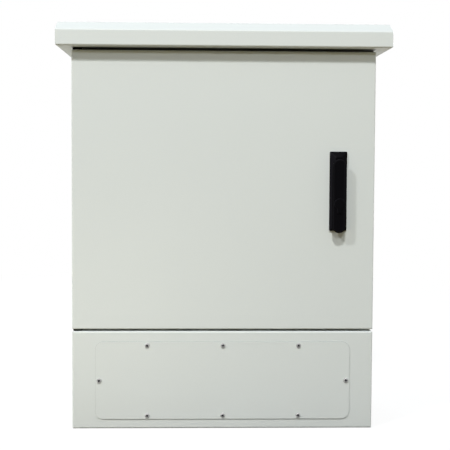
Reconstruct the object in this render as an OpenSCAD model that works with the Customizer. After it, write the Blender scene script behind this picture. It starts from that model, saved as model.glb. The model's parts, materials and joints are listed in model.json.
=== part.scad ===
// Roadside utility cabinet: a folded sheet steel body on a plinth with a screwed front cover,
// a full-width hinged door with a swing handle and rod lock, and a hooded rain roof.
// Millimetres, +Z up, front towards -Y, origin under the middle of the roof's footprint.

/* [Cabinet] */
// Width of the body, the door and the plinth
cabinet_w = 600; // [520:10:800]
// Depth from the door's front face to the back wall
cabinet_d = 300; // [280:10:500]
// Sheet thickness of the body and the door
sheet_t = 1.5; // [1:0.5:2]
// Inside radius of the folds
fold_r = 1.5; // [1:0.5:2]

/* [Plinth] */
// Height of the plinth
plinth_h = 196; // [180:2:300]
// Sheet thickness of the plinth
plinth_t = 2; // [1.5:0.5:3]
// Width of the plinth's inward flanges
plinth_flange_w = 50; // [48:1:60]
// Distance of the anchor holes from the plinth's outside
anchor_inset = 30; // [24:1:36]
// Diameter of the anchor holes
anchor_hole_d = 14; // [9:1:16]

/* [Plinth cover] */
// Width of the screwed cover plate
cover_w = 508; // [440:4:516]
// Height of the screwed cover plate
cover_h = 156; // [140:2:160]
// Height of the cover's lower edge above the ground
cover_z = 19.5; // [10:0.5:20]
// Corner radius of the cover plate
cover_r = 16; // [8:1:24]
// Thickness of the cover plate
cover_t = 2; // [1.5:0.5:3]
// Distance of the cover's screws from its edge
cover_screw_inset = 7.5; // [7:0.5:9]
// Spacing of the cover's screws along its long edges
cover_screw_pitch = 151; // [120:1:170]
// Margin of plinth wall that the cover overlaps
cover_overlap = 16; // [14:1:20]

/* [Body] */
// Height of the body shell above the plinth
body_h = 564; // [500:2:900]
// Width of the front frame round the door opening
frame_w = 28; // [26:1:34]
// Width of the cable entry in the floor
cable_entry_w = 360; // [240:10:400]
// Depth of the cable entry in the floor
cable_entry_d = 130; // [80:5:140]
// Overlap of the gland plate round the cable entry
gland_overlap = 20; // [18:1:24]
// Diameter of the cable grommets
grommet_d = 46; // [30:2:60]
// Distance of the mounting plate from the back wall
plate_standoff = 18; // [12:1:30]
// Margin between the mounting plate and the body's sides
plate_margin = 35; // [30:1:60]
// Thickness of the mounting plate
plate_t = 2; // [1.5:0.5:3]

/* [Door] */
// Depth of the door pan
door_d = 25; // [24:0.5:28]
// Height of the door
door_h = 552; // [488:2:888]
// Gap round the door, to the plinth below and to the frame behind
door_gap = 4; // [4:0.5:6]
// Width of the door pan's inner return
door_return = 12; // [10:0.5:12]
// Thickness of the foamed door seal
seal_t = 10; // [8:0.5:12]
// Width of the foamed door seal
seal_w = 16; // [12:0.5:16]
// Distance of the hinge axis from the door's side
hinge_inset = 10; // [9.5:0.5:10.5]
// Distance of the hinge axis behind the door's front face
hinge_depth = 13; // [12.5:0.5:13.5]
// Diameter of the hinge pins
hinge_pin_d = 8; // [6:0.5:8]
// Thickness of the hinge plates
hinge_plate_t = 3; // [2.5:0.5:3]
// Height of the pivot blocks in the door's corners
pivot_block_h = 18; // [12:1:24]

/* [Roof] */
// Sheet thickness of the roof
roof_t = 2; // [1.5:0.5:2.5]
// Overhang of the roof past each side of the body
roof_side = 28; // [20:1:40]
// Overhang of the roof in front of the door
roof_front = 27; // [27:1:70]
// Overhang of the roof behind the body
roof_back = 15; // [10:1:30]
// Height of the roof's upright lip
roof_lip_h = 31; // [25:1:40]
// Rise of the roof's sloped edge
roof_rise = 19; // [15:1:30]
// Run of the roof's sloped edge
roof_run = 38; // [30:1:50]
// Gap between the door's top and the roof
roof_gap = 5; // [4.5:0.5:7]

/* [Swing handle] */
// Distance of the lock axis from the door's edge
lock_inset = 73; // [68:1:80]
// Height of the lock axis above the door's lower edge
lock_height = 324.5; // [260:0.5:380]
// Width of the handle's base
base_w = 34.4; // [32:0.2:38]
// Length of the handle's base
base_l = 157; // [150:1:180]
// Height of the handle's base
base_h = 11; // [10:0.5:12]
// Width of the lever
lever_w = 25.2; // [24:0.2:27]
// Length of the lever from end to end
lever_l = 145.5; // [140:0.5:160]
// Height of the lever's upper round above the lock axis
lever_rise = 3; // [0:0.5:4]
// Thickness of the lever
lever_t = 12; // [12:0.5:14]
// Distance of the key cylinder below the lock axis
key_drop = 72; // [60:1:85]
// Diameter of the key cylinder
key_d = 14; // [12:0.5:15]
// Diameter of the dust cover over the key cylinder
dust_d = 21; // [18:0.5:23]

/* [Rod lock] */
// Teeth of the pinion
gear_teeth = 12; // [12:2:14]
// Module of the pinion and the racks
gear_module = 1.75; // [1.5:0.05:1.75]
// Width of a lock rod
rod_w = 8; // [7:0.5:9]
// Thickness of a lock rod
rod_t = 6; // [5:0.5:7]
// Reach of a lock rod behind the frame
rod_reach = 12; // [8:1:13]
// Distance from the lock axis to the tip of the latch cam
cam_l = 58; // [55:1:60]

/* [Hidden] */
$fn = 48;

// Finishes
paint = "#d3dad0";
galvanised = "#a9adb0";
bright_zinc = "#c4c6c8";
black_zinc = "#161618";
black_rubber = "#232324";
black_nylon = "#1f1f20";
bare_brass = "#c9a94f";

// Clearances
running = 0.05;
press = 0.02;
loose = 0.4;
thread_clear = 0.1;

// Places of the main planes
roof_w = cabinet_w + 2 * roof_side;
roof_d = roof_front + cabinet_d + roof_back;
front_y = roof_front - roof_d / 2;
back_y = front_y + cabinet_d;
mid_y = (front_y + back_y) / 2;
side_x = cabinet_w / 2;
inner_x = side_x - sheet_t;
frame_y = front_y + door_d + door_gap;
frame_back_y = frame_y + sheet_t;
body_mid_y = (frame_y + back_y) / 2;
body_z = plinth_h;
body_top_z = body_z + body_h;
door_z = plinth_h + door_gap;
door_top_z = door_z + door_h;
door_inner_y = front_y + sheet_t;
door_back_y = front_y + door_d;
opening_x = side_x - frame_w;
opening_low_z = body_z + frame_w;
opening_high_z = body_top_z - frame_w;
seal_gap = 0.3;
frame_lip_y = door_inner_y + seal_t + seal_gap;

// Screw sizes: shank radius, head radius and head height
small_screw = [2.4, 4.8, 3.2];
medium_screw = [2.9, 5.5, 3.6];
m8_r = 4;
m8_hex_r = 7.5;
m8_head_h = 5.3;
m8_nut_h = 6.5;
m8_washer_r = 8;
m8_washer_t = 1.6;

// Directions in a flat profile
function unit(v) = v / norm(v);
function left_of(v) = [-v[1], v[0]];
function turned(v, a) = [v[0] * cos(a) - v[1] * sin(a), v[0] * sin(a) + v[1] * cos(a)];
function turn_angle(a, b) = atan2(a[0] * b[1] - a[1] * b[0], a[0] * b[0] + a[1] * b[1]);

// Points of one fold: the middle line's point and its left-hand normal at each step round the bend
fold_steps = 6;
function fold(before, at, after, r) =
    let (
        come = unit(at - before),
        go = unit(after - at),
        bend = turn_angle(come, go),
        side = sign(bend),
        start = at - come * r * tan(abs(bend) / 2),
        centre = start + left_of(come) * r * side
    )
    [for (k = [0:fold_steps])
        let (way = turned(come, bend * k / fold_steps))
        [centre - left_of(way) * r * side, left_of(way)]];

// The middle line of a folded sheet, with its normals, along a path of straight runs
function sheet_line(path, r) =
    let (last = len(path) - 1)
    concat(
        [[path[0], left_of(unit(path[1] - path[0]))]],
        [for (i = [1:last - 1]) each fold(path[i - 1], path[i], path[i + 1], r)],
        [[path[last], left_of(unit(path[last] - path[last - 1]))]]
    );

// Section of a folded sheet whose middle line follows a path
module folded_sheet(path, t) {
    line = sheet_line(path, fold_r + t / 2);
    count = len(line);
    polygon(concat(
        [for (p = line) p[0] + p[1] * t / 2],
        [for (i = [1:count]) line[count - i][0] - line[count - i][1] * t / 2]
    ));
}

// A rectangle with rounded corners, centred, whose arcs are as fine as the folds
corner_steps = 8;
module rounded_rectangle(w, h, r) {
    polygon([for (q = [0:3], k = [0:corner_steps])
        let (
            sx = (q == 0 || q == 3) ? 1 : -1,
            sy = q < 2 ? 1 : -1,
            a = 90 * q + 90 * k / corner_steps
        )
        [sx * (w / 2 - r) + r * cos(a), sy * (h / 2 - r) + r * sin(a)]]);
}

// Extrusions of a flat profile: XY upwards, YZ along X, and XZ towards the front
module upwards(z, height) {
    translate([0, 0, z]) linear_extrude(height) children();
}
module along_x(x, length) {
    translate([x, 0, 0]) rotate([90, 0, 90]) linear_extrude(length) children();
}
module frontwards(y, depth) {
    translate([0, y, 0]) rotate([90, 0, 0]) linear_extrude(depth) children();
}

// A cylinder from a point along +X, towards the front or upwards
module rod_x(x, y, z, length, r) {
    translate([x, y, z]) rotate([0, 90, 0]) cylinder(h = length, r = r);
}
module rod_front(x, y, z, length, r) {
    translate([x, y, z]) rotate([90, 0, 0]) cylinder(h = length, r = r);
}
module rod_up(x, y, z, length, r) {
    translate([x, y, z]) cylinder(h = length, r = r);
}

// A block between two corners
module block(low, high) {
    translate(low) cube(high - low);
}

// A pan head screw with a cross recess, its head on the XY plane and its shank downwards
module pan_screw(size, length) {
    recess_w = size[0] * 0.45;
    recess_l = size[1] * 1.1;
    recess_d = size[2] * 0.6;
    difference() {
        union() {
            cylinder(h = size[2] * 0.45, r = size[1]);
            translate([0, 0, size[2] * 0.45])
                cylinder(h = size[2] * 0.55, r1 = size[1], r2 = size[1] * 0.62);
            translate([0, 0, -length]) cylinder(h = length, r = size[0]);
        }
        for (a = [0, 90])
            rotate([0, 0, a])
                translate([-recess_l / 2, -recess_w / 2, size[2] - recess_d])
                    cube([recess_l, recess_w, size[2]]);
    }
}

// A hexagon bolt with its washer, the washer on the XY plane and the shank downwards
module hex_bolt(length) {
    cylinder(h = m8_washer_t, r = m8_washer_r);
    translate([0, 0, m8_washer_t]) cylinder(h = m8_head_h, r = m8_hex_r, $fn = 6);
    translate([0, 0, -length]) cylinder(h = length, r = m8_r - thread_clear);
}

// A hexagon nut on its washer, standing on the XY plane
module hex_nut() {
    difference() {
        union() {
            cylinder(h = m8_washer_t, r = m8_washer_r);
            translate([0, 0, m8_washer_t]) cylinder(h = m8_nut_h, r = m8_hex_r, $fn = 6);
        }
        translate([0, 0, -1]) cylinder(h = m8_nut_h + m8_washer_t + 2, r = m8_r);
    }
}
m8_nut_stack = m8_washer_t + m8_nut_h;

// Plinth

cover_mid_z = cover_z + cover_h / 2;
cover_y = front_y - cover_t;
cover_screw_x = cover_w / 2 - cover_screw_inset;
cover_screw_z = cover_h / 2 - cover_screw_inset;
cover_screw_places = concat(
    [for (i = [-1:1], s = [-1, 1]) [i * cover_screw_pitch, cover_mid_z + s * cover_screw_z]],
    [for (s = [-1, 1]) [s * cover_screw_x, cover_mid_z]]
);
cover_nut_r = 4.4;
cover_nut_h = 8;
cover_screw_l = cover_t + plinth_t + cover_nut_h;

anchor_x = side_x - anchor_inset;
anchor_y = cabinet_d / 2 - anchor_inset;

body_bolt_inset = 25;
body_bolt_x = side_x - body_bolt_inset;
body_bolt_front_y = frame_back_y + m8_washer_r + 3;
body_bolt_back_y = back_y - body_bolt_inset;
body_bolt_places = [for (s = [-1, 1], y = [body_bolt_front_y, body_bolt_back_y]) [s * body_bolt_x, y]];

// The plinth's outside, or its inside one sheet further in, with every fold rounded
module plinth_envelope(inset) {
    w = cabinet_w - 2 * inset;
    d = cabinet_d - 2 * inset;
    h = plinth_h - 2 * inset;
    r = fold_r + plinth_t - inset;
    intersection() {
        upwards(inset, h) translate([0, mid_y]) rounded_rectangle(w, d, r);
        along_x(-w / 2, w) translate([mid_y, plinth_h / 2]) rounded_rectangle(d, h, r);
        frontwards(mid_y + d / 2, d) translate([0, plinth_h / 2]) rounded_rectangle(w, h, r);
    }
}

module plinth_frame() {
    color(paint) difference() {
        plinth_envelope(0);
        plinth_envelope(plinth_t);
        upwards(-1, plinth_h + 2) translate([0, mid_y])
            rounded_rectangle(cabinet_w - 2 * plinth_flange_w, cabinet_d - 2 * plinth_flange_w, fold_r);
        translate([0, 0, cover_mid_z]) frontwards(front_y + plinth_t + 1, plinth_t + 2)
            rounded_rectangle(cover_w - 2 * cover_overlap, cover_h - 2 * cover_overlap, cover_r / 2);
        for (p = cover_screw_places)
            rod_front(p[0], front_y + plinth_t + 1, p[1], plinth_t + 2, small_screw[0] + thread_clear);
        for (sx = [-1, 1], sy = [-1, 1])
            rod_up(sx * anchor_x, mid_y + sy * anchor_y, -1, plinth_t + 2, anchor_hole_d / 2);
        for (p = body_bolt_places)
            rod_up(p[0], p[1], plinth_h - plinth_t - 1, plinth_t + 2, m8_r + loose);
        for (p = gland_screw_places)
            rod_up(p[0], p[1], plinth_h - plinth_t - 1, plinth_t + 2, medium_screw[0] + loose);
    }
}

module plinth_cover() {
    color(paint) difference() {
        translate([0, 0, cover_mid_z]) frontwards(front_y, cover_t)
            rounded_rectangle(cover_w, cover_h, cover_r);
        for (p = cover_screw_places)
            rod_front(p[0], front_y + 1, p[1], cover_t + 2, small_screw[0] + loose);
    }
}

module plinth_cover_screws() {
    color(bright_zinc) for (p = cover_screw_places)
        translate([p[0], cover_y, p[1]]) rotate([90, 0, 0]) pan_screw(small_screw, cover_screw_l);
}

module plinth_cover_nuts() {
    color(galvanised) for (p = cover_screw_places) difference() {
        rod_front(p[0], front_y + plinth_t + cover_nut_h, p[1], cover_nut_h, cover_nut_r);
        rod_front(p[0], front_y + plinth_t + cover_nut_h + 1, p[1], cover_nut_h + 2,
                  small_screw[0] + thread_clear);
    }
}

// Body shell

wrap_x = side_x - sheet_t / 2;
wrap_back_y = back_y - sheet_t / 2;
wrap_front_y = frame_y + sheet_t / 2;

module wrap_section(reach_x) {
    folded_sheet([
        [-reach_x, wrap_front_y], [-wrap_x, wrap_front_y], [-wrap_x, wrap_back_y],
        [wrap_x, wrap_back_y], [wrap_x, wrap_front_y], [reach_x, wrap_front_y]
    ], sheet_t);
}

module frame_lip_section(side) {
    x = side * (opening_x + sheet_t / 2);
    folded_sheet([[x, frame_lip_y], [x, wrap_front_y], [x + side * frame_w / 2, wrap_front_y]], sheet_t);
}

module body_wrap() {
    color(paint) difference() {
        union() {
            upwards(body_z, body_h) wrap_section(opening_x + frame_w / 3);
            for (s = [-1, 1]) {
                upwards(opening_low_z, opening_high_z - opening_low_z) frame_lip_section(s);
                for (z = [body_z, opening_high_z])
                    upwards(z, frame_w)
                        translate([s * (opening_x + frame_w / 4), wrap_front_y])
                            square([frame_w / 2, sheet_t], center = true);
            }
        }
        for (p = plate_stud_places)
            rod_front(p[0], back_y + 1, p[1], sheet_t + 2, m8_r + press);
    }
}

// Section through the floor or the roof panel, from the frame's lip over the frame to the back
module panel_section(lip_z, panel_z) {
    folded_sheet([
        [frame_lip_y, lip_z], [wrap_front_y, lip_z],
        [wrap_front_y, panel_z], [back_y - sheet_t, panel_z]
    ], sheet_t);
}

module body_panel(lip_z, panel_z) {
    along_x(-opening_x, 2 * opening_x) panel_section(lip_z, panel_z);
    low = frame_back_y;
    high = back_y - sheet_t;
    for (s = [-1, 1])
        upwards(panel_z - sheet_t / 2, sheet_t) polygon([
            [s * opening_x, low], [s * (inner_x - fold_r), low], [s * inner_x, low + fold_r],
            [s * inner_x, high - fold_r], [s * (inner_x - fold_r), high], [s * opening_x, high]
        ]);
}

roof_bolt_x = opening_x - 12;

module body_top() {
    color(paint) difference() {
        body_panel(opening_high_z + sheet_t / 2, body_top_z - sheet_t / 2);
        for (s = [-1, 1])
            rod_up(s * roof_bolt_x, body_mid_y, body_top_z - sheet_t - 1, sheet_t + 2, m8_r + loose);
    }
}

gland_y = body_mid_y;
gland_w = cable_entry_w + 2 * gland_overlap;
gland_d = cable_entry_d + 2 * gland_overlap;
gland_seal_t = 2;
gland_plate_t = 2;
gland_screw_inset = gland_overlap / 2;
gland_screw_places = [for (i = [-1:1], s = [-1, 1])
    [i * (gland_w / 2 - gland_screw_inset), gland_y + s * (gland_d / 2 - gland_screw_inset)]];
floor_top_z = body_z + sheet_t;
gland_seal_z = floor_top_z;
gland_plate_z = gland_seal_z + gland_seal_t;
gland_plate_top_z = gland_plate_z + gland_plate_t;

earth_x = -(side_x - frame_w - 20);
earth_y = frame_back_y + 40;
earth_l = 32;

module body_floor() {
    color(paint) difference() {
        body_panel(opening_low_z - sheet_t / 2, body_z + sheet_t / 2);
        translate([-cable_entry_w / 2, gland_y - cable_entry_d / 2, body_z - 1])
            cube([cable_entry_w, cable_entry_d, sheet_t + 2]);
        for (p = gland_screw_places)
            rod_up(p[0], p[1], body_z - 1, sheet_t + 2, medium_screw[0] + thread_clear);
        for (p = body_bolt_places)
            rod_up(p[0], p[1], body_z - 1, sheet_t + 2, m8_r + loose);
    }
}

module body_bolts() {
    color(bright_zinc) for (p = body_bolt_places)
        translate([p[0], p[1], floor_top_z]) hex_bolt(sheet_t + plinth_t + m8_nut_stack + 2);
}

module body_nuts() {
    color(bright_zinc) for (p = body_bolt_places)
        translate([p[0], p[1], plinth_h - plinth_t]) rotate([180, 0, 0]) hex_nut();
}

// Gland plate

module gland_hole_row(z, height, r) {
    for (i = [-1:1]) rod_up(i * cable_entry_w / 3, gland_y, z, height, r);
}

module gland_outline() {
    translate([0, gland_y]) rounded_rectangle(gland_w, gland_d, gland_overlap / 3);
}

module gland_seal() {
    color(black_rubber) difference() {
        upwards(gland_seal_z, gland_seal_t) difference() {
            gland_outline();
            translate([-cable_entry_w / 2, gland_y - cable_entry_d / 2])
                square([cable_entry_w, cable_entry_d]);
        }
        for (p = gland_screw_places)
            rod_up(p[0], p[1], gland_seal_z - 1, gland_seal_t + 2, medium_screw[0] + loose);
    }
}

module gland_plate() {
    color(galvanised) difference() {
        upwards(gland_plate_z, gland_plate_t) gland_outline();
        gland_hole_row(gland_plate_z - 1, gland_plate_t + 2, grommet_d / 2);
        for (p = gland_screw_places)
            rod_up(p[0], p[1], gland_plate_z - 1, gland_plate_t + 2, medium_screw[0] + loose);
    }
}

module gland_screws() {
    color(bright_zinc) for (p = gland_screw_places)
        translate([p[0], p[1], gland_plate_top_z])
            pan_screw(medium_screw, gland_plate_t + gland_seal_t + sheet_t + 6);
}

// A membrane grommet: a grooved ring that grips the plate, closed by a thin stepped membrane
module grommet() {
    r = grommet_d / 2;
    bead = 3;
    groove = r - thread_clear;
    rotate_extrude() polygon([
        [0, 0], [r - 6, 0], [r - 4, -bead], [r + bead, -bead], [r + bead, 0], [groove, 0],
        [groove, gland_plate_t], [r + bead, gland_plate_t], [r + bead - 1, gland_plate_t + bead],
        [r - 4, gland_plate_t + bead], [r - 6, 2.5], [r / 2, 2], [r / 2 - 1, 3.5], [0, 3.5]
    ]);
}

module cable_grommets() {
    color(black_rubber) for (i = [-1:1])
        translate([i * cable_entry_w / 3, gland_y, gland_plate_z]) grommet();
}

// Mounting plate

plate_back_y = back_y - sheet_t - plate_standoff;
plate_front_y = plate_back_y - plate_t;
plate_w = cabinet_w - 2 * plate_margin;
plate_low_z = opening_low_z + 6;
plate_high_z = opening_high_z - 6;
plate_fold = 12;
stud_inset = 22;
plate_stud_x = plate_w / 2 - stud_inset - plate_fold;
plate_stud_places = [for (sx = [-1, 1], z = [plate_low_z + stud_inset, plate_high_z - stud_inset])
    [sx * plate_stud_x, z]];
stud_out_y = plate_front_y - m8_nut_stack - 4;

module mounting_plate() {
    x = plate_w / 2 - plate_t / 2;
    y = plate_back_y - plate_t / 2;
    color(galvanised) difference() {
        upwards(plate_low_z, plate_high_z - plate_low_z)
            folded_sheet([[-x, y - plate_fold], [-x, y], [x, y], [x, y - plate_fold]], plate_t);
        for (p = plate_stud_places)
            rod_front(p[0], plate_back_y + 1, p[1], plate_t + 2, m8_r + loose);
    }
}

// Studs pressed through the back wall, each with a shoulder that spaces the plate
module mounting_studs() {
    color(bright_zinc) for (p = plate_stud_places) {
        rod_front(p[0], back_y, p[1], back_y - stud_out_y, m8_r - thread_clear);
        rod_front(p[0], back_y - sheet_t, p[1], plate_standoff, m8_washer_r);
    }
}

module mounting_nuts() {
    color(bright_zinc) for (p = plate_stud_places)
        translate([p[0], plate_front_y, p[1]]) rotate([90, 0, 0]) hex_nut();
}

module earth_stud() {
    color(bare_brass) {
        rod_up(earth_x, earth_y, floor_top_z, earth_l, m8_r - thread_clear);
        rod_up(earth_x, earth_y, floor_top_z, 3, m8_hex_r);
    }
}

module earth_nuts() {
    color(bare_brass) for (z = [floor_top_z + 3, floor_top_z + 3 + m8_nut_stack])
        translate([earth_x, earth_y, z]) hex_nut();
}

// Roof

roof_z = door_top_z + roof_gap;
roof_eave_z = roof_z + roof_lip_h;
roof_top_z = roof_eave_z + roof_rise;
roof_x = roof_w / 2;
roof_y = roof_d / 2;
soffit_back_y = frame_y - 2;
rear_return = 15;

// Middle line of the roof sheet from the front soffit over the top to the rear return
module roof_section() {
    h = roof_t / 2;
    folded_sheet([
        [soffit_back_y, roof_z + h], [-roof_y + h, roof_z + h], [-roof_y + h, roof_eave_z],
        [-roof_y + roof_run, roof_top_z - h], [roof_y - roof_run, roof_top_z - h],
        [roof_y - h, roof_eave_z], [roof_y - h, roof_z + h], [roof_y - rear_return, roof_z + h]
    ], roof_t);
}

// Outline of the roof's end wall, inside the sheet
module roof_end_outline() {
    polygon([
        [-roof_y + fold_r + roof_t, roof_z], [-roof_y + roof_t / 2, roof_z + fold_r + roof_t / 2],
        [-roof_y + roof_t / 2, roof_eave_z],
        [-roof_y + roof_run, roof_top_z - roof_t / 2], [roof_y - roof_run, roof_top_z - roof_t / 2],
        [roof_y - roof_t / 2, roof_eave_z],
        [roof_y - roof_t / 2, roof_z + fold_r + roof_t / 2], [roof_y - fold_r - roof_t, roof_z]
    ]);
}

roof_screw_z = body_top_z + 14;

// The side returns stop short of the body
return_gap = 1;

module roof() {
    return_w = roof_side - return_gap;
    edge = fold_r + roof_t;
    rounding_h = 2 * (roof_top_z - roof_z);
    color(paint) difference() {
        intersection() {
            union() {
                along_x(-roof_x, roof_w) roof_section();
                for (x = [-roof_x, roof_x - roof_t]) along_x(x, roof_t) roof_end_outline();
                for (x = [-roof_x, roof_x - return_w])
                    block([x, -roof_y + edge, roof_z], [x + return_w, roof_y - edge, roof_z + roof_t]);
            }
            translate([0, 0, roof_z + rounding_h / 2]) frontwards(roof_y + 1, roof_d + 2)
                rounded_rectangle(roof_w, rounding_h, edge);
        }
        for (s = [-1, 1])
            rod_x(s > 0 ? roof_x - roof_t - 1 : -roof_x - 1, body_mid_y, roof_screw_z, roof_t + 2,
                  medium_screw[0] + loose);
    }
}

// A hat-section rail between the body's top and the roof sheet
rail_end = 40;
rail_l = cabinet_w - 2 * rail_end;
rail_top_w = 30;
rail_foot_w = 18;
rail_margin = 8;
module roof_rail(y) {
    h = roof_t / 2;
    low = body_top_z + h;
    high = roof_top_z - roof_t - h;
    color(galvanised) along_x(-rail_l / 2, rail_l) translate([y, 0]) folded_sheet([
        [-rail_top_w / 2 - rail_foot_w, low], [-rail_top_w / 2, low], [-rail_top_w / 2, high],
        [rail_top_w / 2, high], [rail_top_w / 2, low], [rail_top_w / 2 + rail_foot_w, low]
    ], roof_t);
}
rail_spread = (back_y - frame_y) / 2 - rail_top_w / 2 - rail_foot_w - rail_margin;

// A bracket from the body's top out to the roof's end wall
bracket_w = 40;
bracket_t = 2;
bracket_upright = 24;
module roof_bracket(side) {
    h = bracket_t / 2;
    out_x = roof_x - roof_t - h;
    color(galvanised) difference() {
        frontwards(body_mid_y + bracket_w / 2, bracket_w) folded_sheet([
            [side * (roof_bolt_x - 14), body_top_z + h], [side * out_x, body_top_z + h],
            [side * out_x, body_top_z + bracket_upright]
        ], bracket_t);
        rod_up(side * roof_bolt_x, body_mid_y, body_top_z - 1, bracket_t + 2, m8_r + loose);
        rod_x(side * out_x - bracket_t, body_mid_y, roof_screw_z, 2 * bracket_t,
              medium_screw[0] + thread_clear);
    }
}

module roof_bolts() {
    color(bright_zinc) for (s = [-1, 1]) {
        translate([s * roof_bolt_x, body_mid_y, body_top_z - sheet_t]) rotate([180, 0, 0])
            hex_bolt(sheet_t + bracket_t + m8_nut_stack + 2);
        translate([s * roof_bolt_x, body_mid_y, body_top_z + bracket_t]) hex_nut();
    }
}

module roof_side_screws() {
    color(bright_zinc) for (s = [-1, 1])
        translate([s * roof_x, body_mid_y, roof_screw_z]) rotate([0, s * 90, 0])
            pan_screw(medium_screw, roof_t + bracket_t + 8);
}

// Hinges

hinge_x = -side_x + hinge_inset;
hinge_y = front_y + hinge_depth;
hinge_r = hinge_pin_d / 2;
upper_plate_z = door_top_z + (roof_gap - hinge_plate_t) / 2;
lower_plate_z = plinth_h;
pin_depth = pivot_block_h - 2;

module hinge_plate(z) {
    nose_r = hinge_inset - 1;
    color(black_zinc) difference() {
        upwards(z, hinge_plate_t) polygon(concat(
            [for (k = [0:2 * corner_steps]) let (a = 180 + 90 * k / corner_steps)
                [hinge_x + nose_r * cos(a), hinge_y + nose_r * sin(a)]],
            [[hinge_x + nose_r, frame_y], [hinge_x - nose_r, frame_y]]
        ));
        rod_up(hinge_x, hinge_y, z - 1, hinge_plate_t + 2, hinge_r + press);
    }
}

module hinge_pin(low, high) {
    color(bright_zinc) rod_up(hinge_x, hinge_y, low, high - low, hinge_r);
}

washer_low_z = lower_plate_z + hinge_plate_t;
module hinge_washer() {
    color(black_nylon) difference() {
        rod_up(hinge_x, hinge_y, washer_low_z, door_z - washer_low_z, hinge_inset - 1);
        rod_up(hinge_x, hinge_y, washer_low_z - 1, door_z - washer_low_z + 2, hinge_r + running);
    }
}

block_x = hinge_x + hinge_inset - 2;
module pivot_block(z) {
    color(bright_zinc) difference() {
        block([-inner_x + fold_r, door_inner_y + fold_r, z],
              [block_x, door_back_y - sheet_t, z + pivot_block_h]);
        rod_up(hinge_x, hinge_y, z - 1, pivot_block_h + 2, hinge_r + running);
    }
}

// Door

door_mid_z = door_z + door_h / 2;
lock_x = side_x - lock_inset;
lock_z = door_z + lock_height;
lock_screw_rise = 21;
base_above = 30.5;
base_mid_z = lock_z + base_above - base_l / 2;
foot_screw_inset = 11;
foot_screw_z = base_mid_z - base_l / 2 + foot_screw_inset;
lock_screw_places = [for (d = [lock_screw_rise, -lock_screw_rise]) lock_z + d];
neck_r = 10;
bend_r = fold_r + sheet_t;

// The door pan's outline across one width, rounded along its front edges, and inset by a wall
function pan_points(width, inset) =
    let (
        half = width / 2 - inset,
        low = front_y + inset,
        r = max(bend_r - inset, fold_r)
    )
    concat(
        [for (k = [0:fold_steps]) let (a = 180 + 90 * k / fold_steps)
            [-half + r + r * cos(a), low + r + r * sin(a)]],
        [for (k = [0:fold_steps]) let (a = 270 + 90 * k / fold_steps)
            [half - r + r * cos(a), low + r + r * sin(a)]],
        [[half, door_back_y], [-half, door_back_y]]
    );

// The same outline seen from the side: depth first, then height about a middle
function side_on(points, middle) = [for (p = points) [p[1], middle + p[0]]];

module pan_envelope(inset) {
    intersection() {
        upwards(door_z + inset, door_h - 2 * inset) polygon(pan_points(cabinet_w, inset));
        along_x(-side_x + inset, cabinet_w - 2 * inset)
            polygon(side_on(pan_points(door_h, inset), door_mid_z));
    }
}

module door_panel() {
    color(paint) difference() {
        pan_envelope(0);
        difference() {
            pan_envelope(sheet_t);
            translate([0, 0, door_mid_z]) frontwards(door_back_y + 1, sheet_t + 1) difference() {
                square([cabinet_w, door_h], center = true);
                square([cabinet_w - 2 * door_return, door_h - 2 * door_return], center = true);
            }
        }
        rod_up(hinge_x, hinge_y, door_z - 1, sheet_t + 2, hinge_r + loose);
        rod_up(hinge_x, hinge_y, door_top_z - sheet_t - 1, sheet_t + 2, hinge_r + loose);
        rod_front(lock_x, door_inner_y + 1, lock_z, sheet_t + 2, neck_r + loose);
        for (z = concat(lock_screw_places, [foot_screw_z]))
            rod_front(lock_x, door_inner_y + 1, z, sheet_t + 2, small_screw[0] + loose);
    }
}

// The foamed seal runs round the door's inside, in line with the frame's lip
module door_seal() {
    w = 2 * opening_x + sheet_t + seal_w;
    h = opening_high_z - opening_low_z + sheet_t + seal_w;
    color(black_rubber) translate([0, 0, (opening_low_z + opening_high_z) / 2])
        frontwards(door_inner_y + seal_t, seal_t) difference() {
            rounded_rectangle(w, h, seal_w / 2);
            rounded_rectangle(w - 2 * seal_w, h - 2 * seal_w, seal_w / 4);
        }
}

// Swing handle

handle_seal_t = 1;
base_back_y = front_y - handle_seal_t;
base_front_y = base_back_y - base_h;
base_wall_h = 3;
base_slope = 11;
lever_gap = 0.5;
journal_proud = 0.2;
lever_back_y = base_front_y - lever_gap;
lever_front_y = lever_back_y - lever_t;
lever_r = lever_w / 2;
lever_tip_z = lock_z + lever_rise + lever_r - lever_l;
lever_tip_mid_z = lever_tip_z + lever_r;
key_z = lock_z - key_drop;

module handle_holes(y, depth, extra) {
    for (z = concat(lock_screw_places, [foot_screw_z]))
        rod_front(lock_x, y, z, depth, small_screw[0] + extra);
}

module handle_seal() {
    color(black_rubber) difference() {
        translate([lock_x, 0, base_mid_z]) frontwards(front_y, handle_seal_t)
            rounded_rectangle(base_w, base_l, 2);
        rod_front(lock_x, front_y + 1, lock_z, handle_seal_t + 2, neck_r + loose);
        handle_holes(front_y + 1, handle_seal_t + 2, loose);
    }
}

// The base's section: an upright wall, then a slope up to a narrow flat ridge
function base_points(width) = [
    [-width / 2, base_back_y], [-width / 2, base_back_y - base_wall_h],
    [-width / 2 + base_slope, base_front_y], [width / 2 - base_slope, base_front_y],
    [width / 2, base_back_y - base_wall_h], [width / 2, base_back_y]
];

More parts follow.
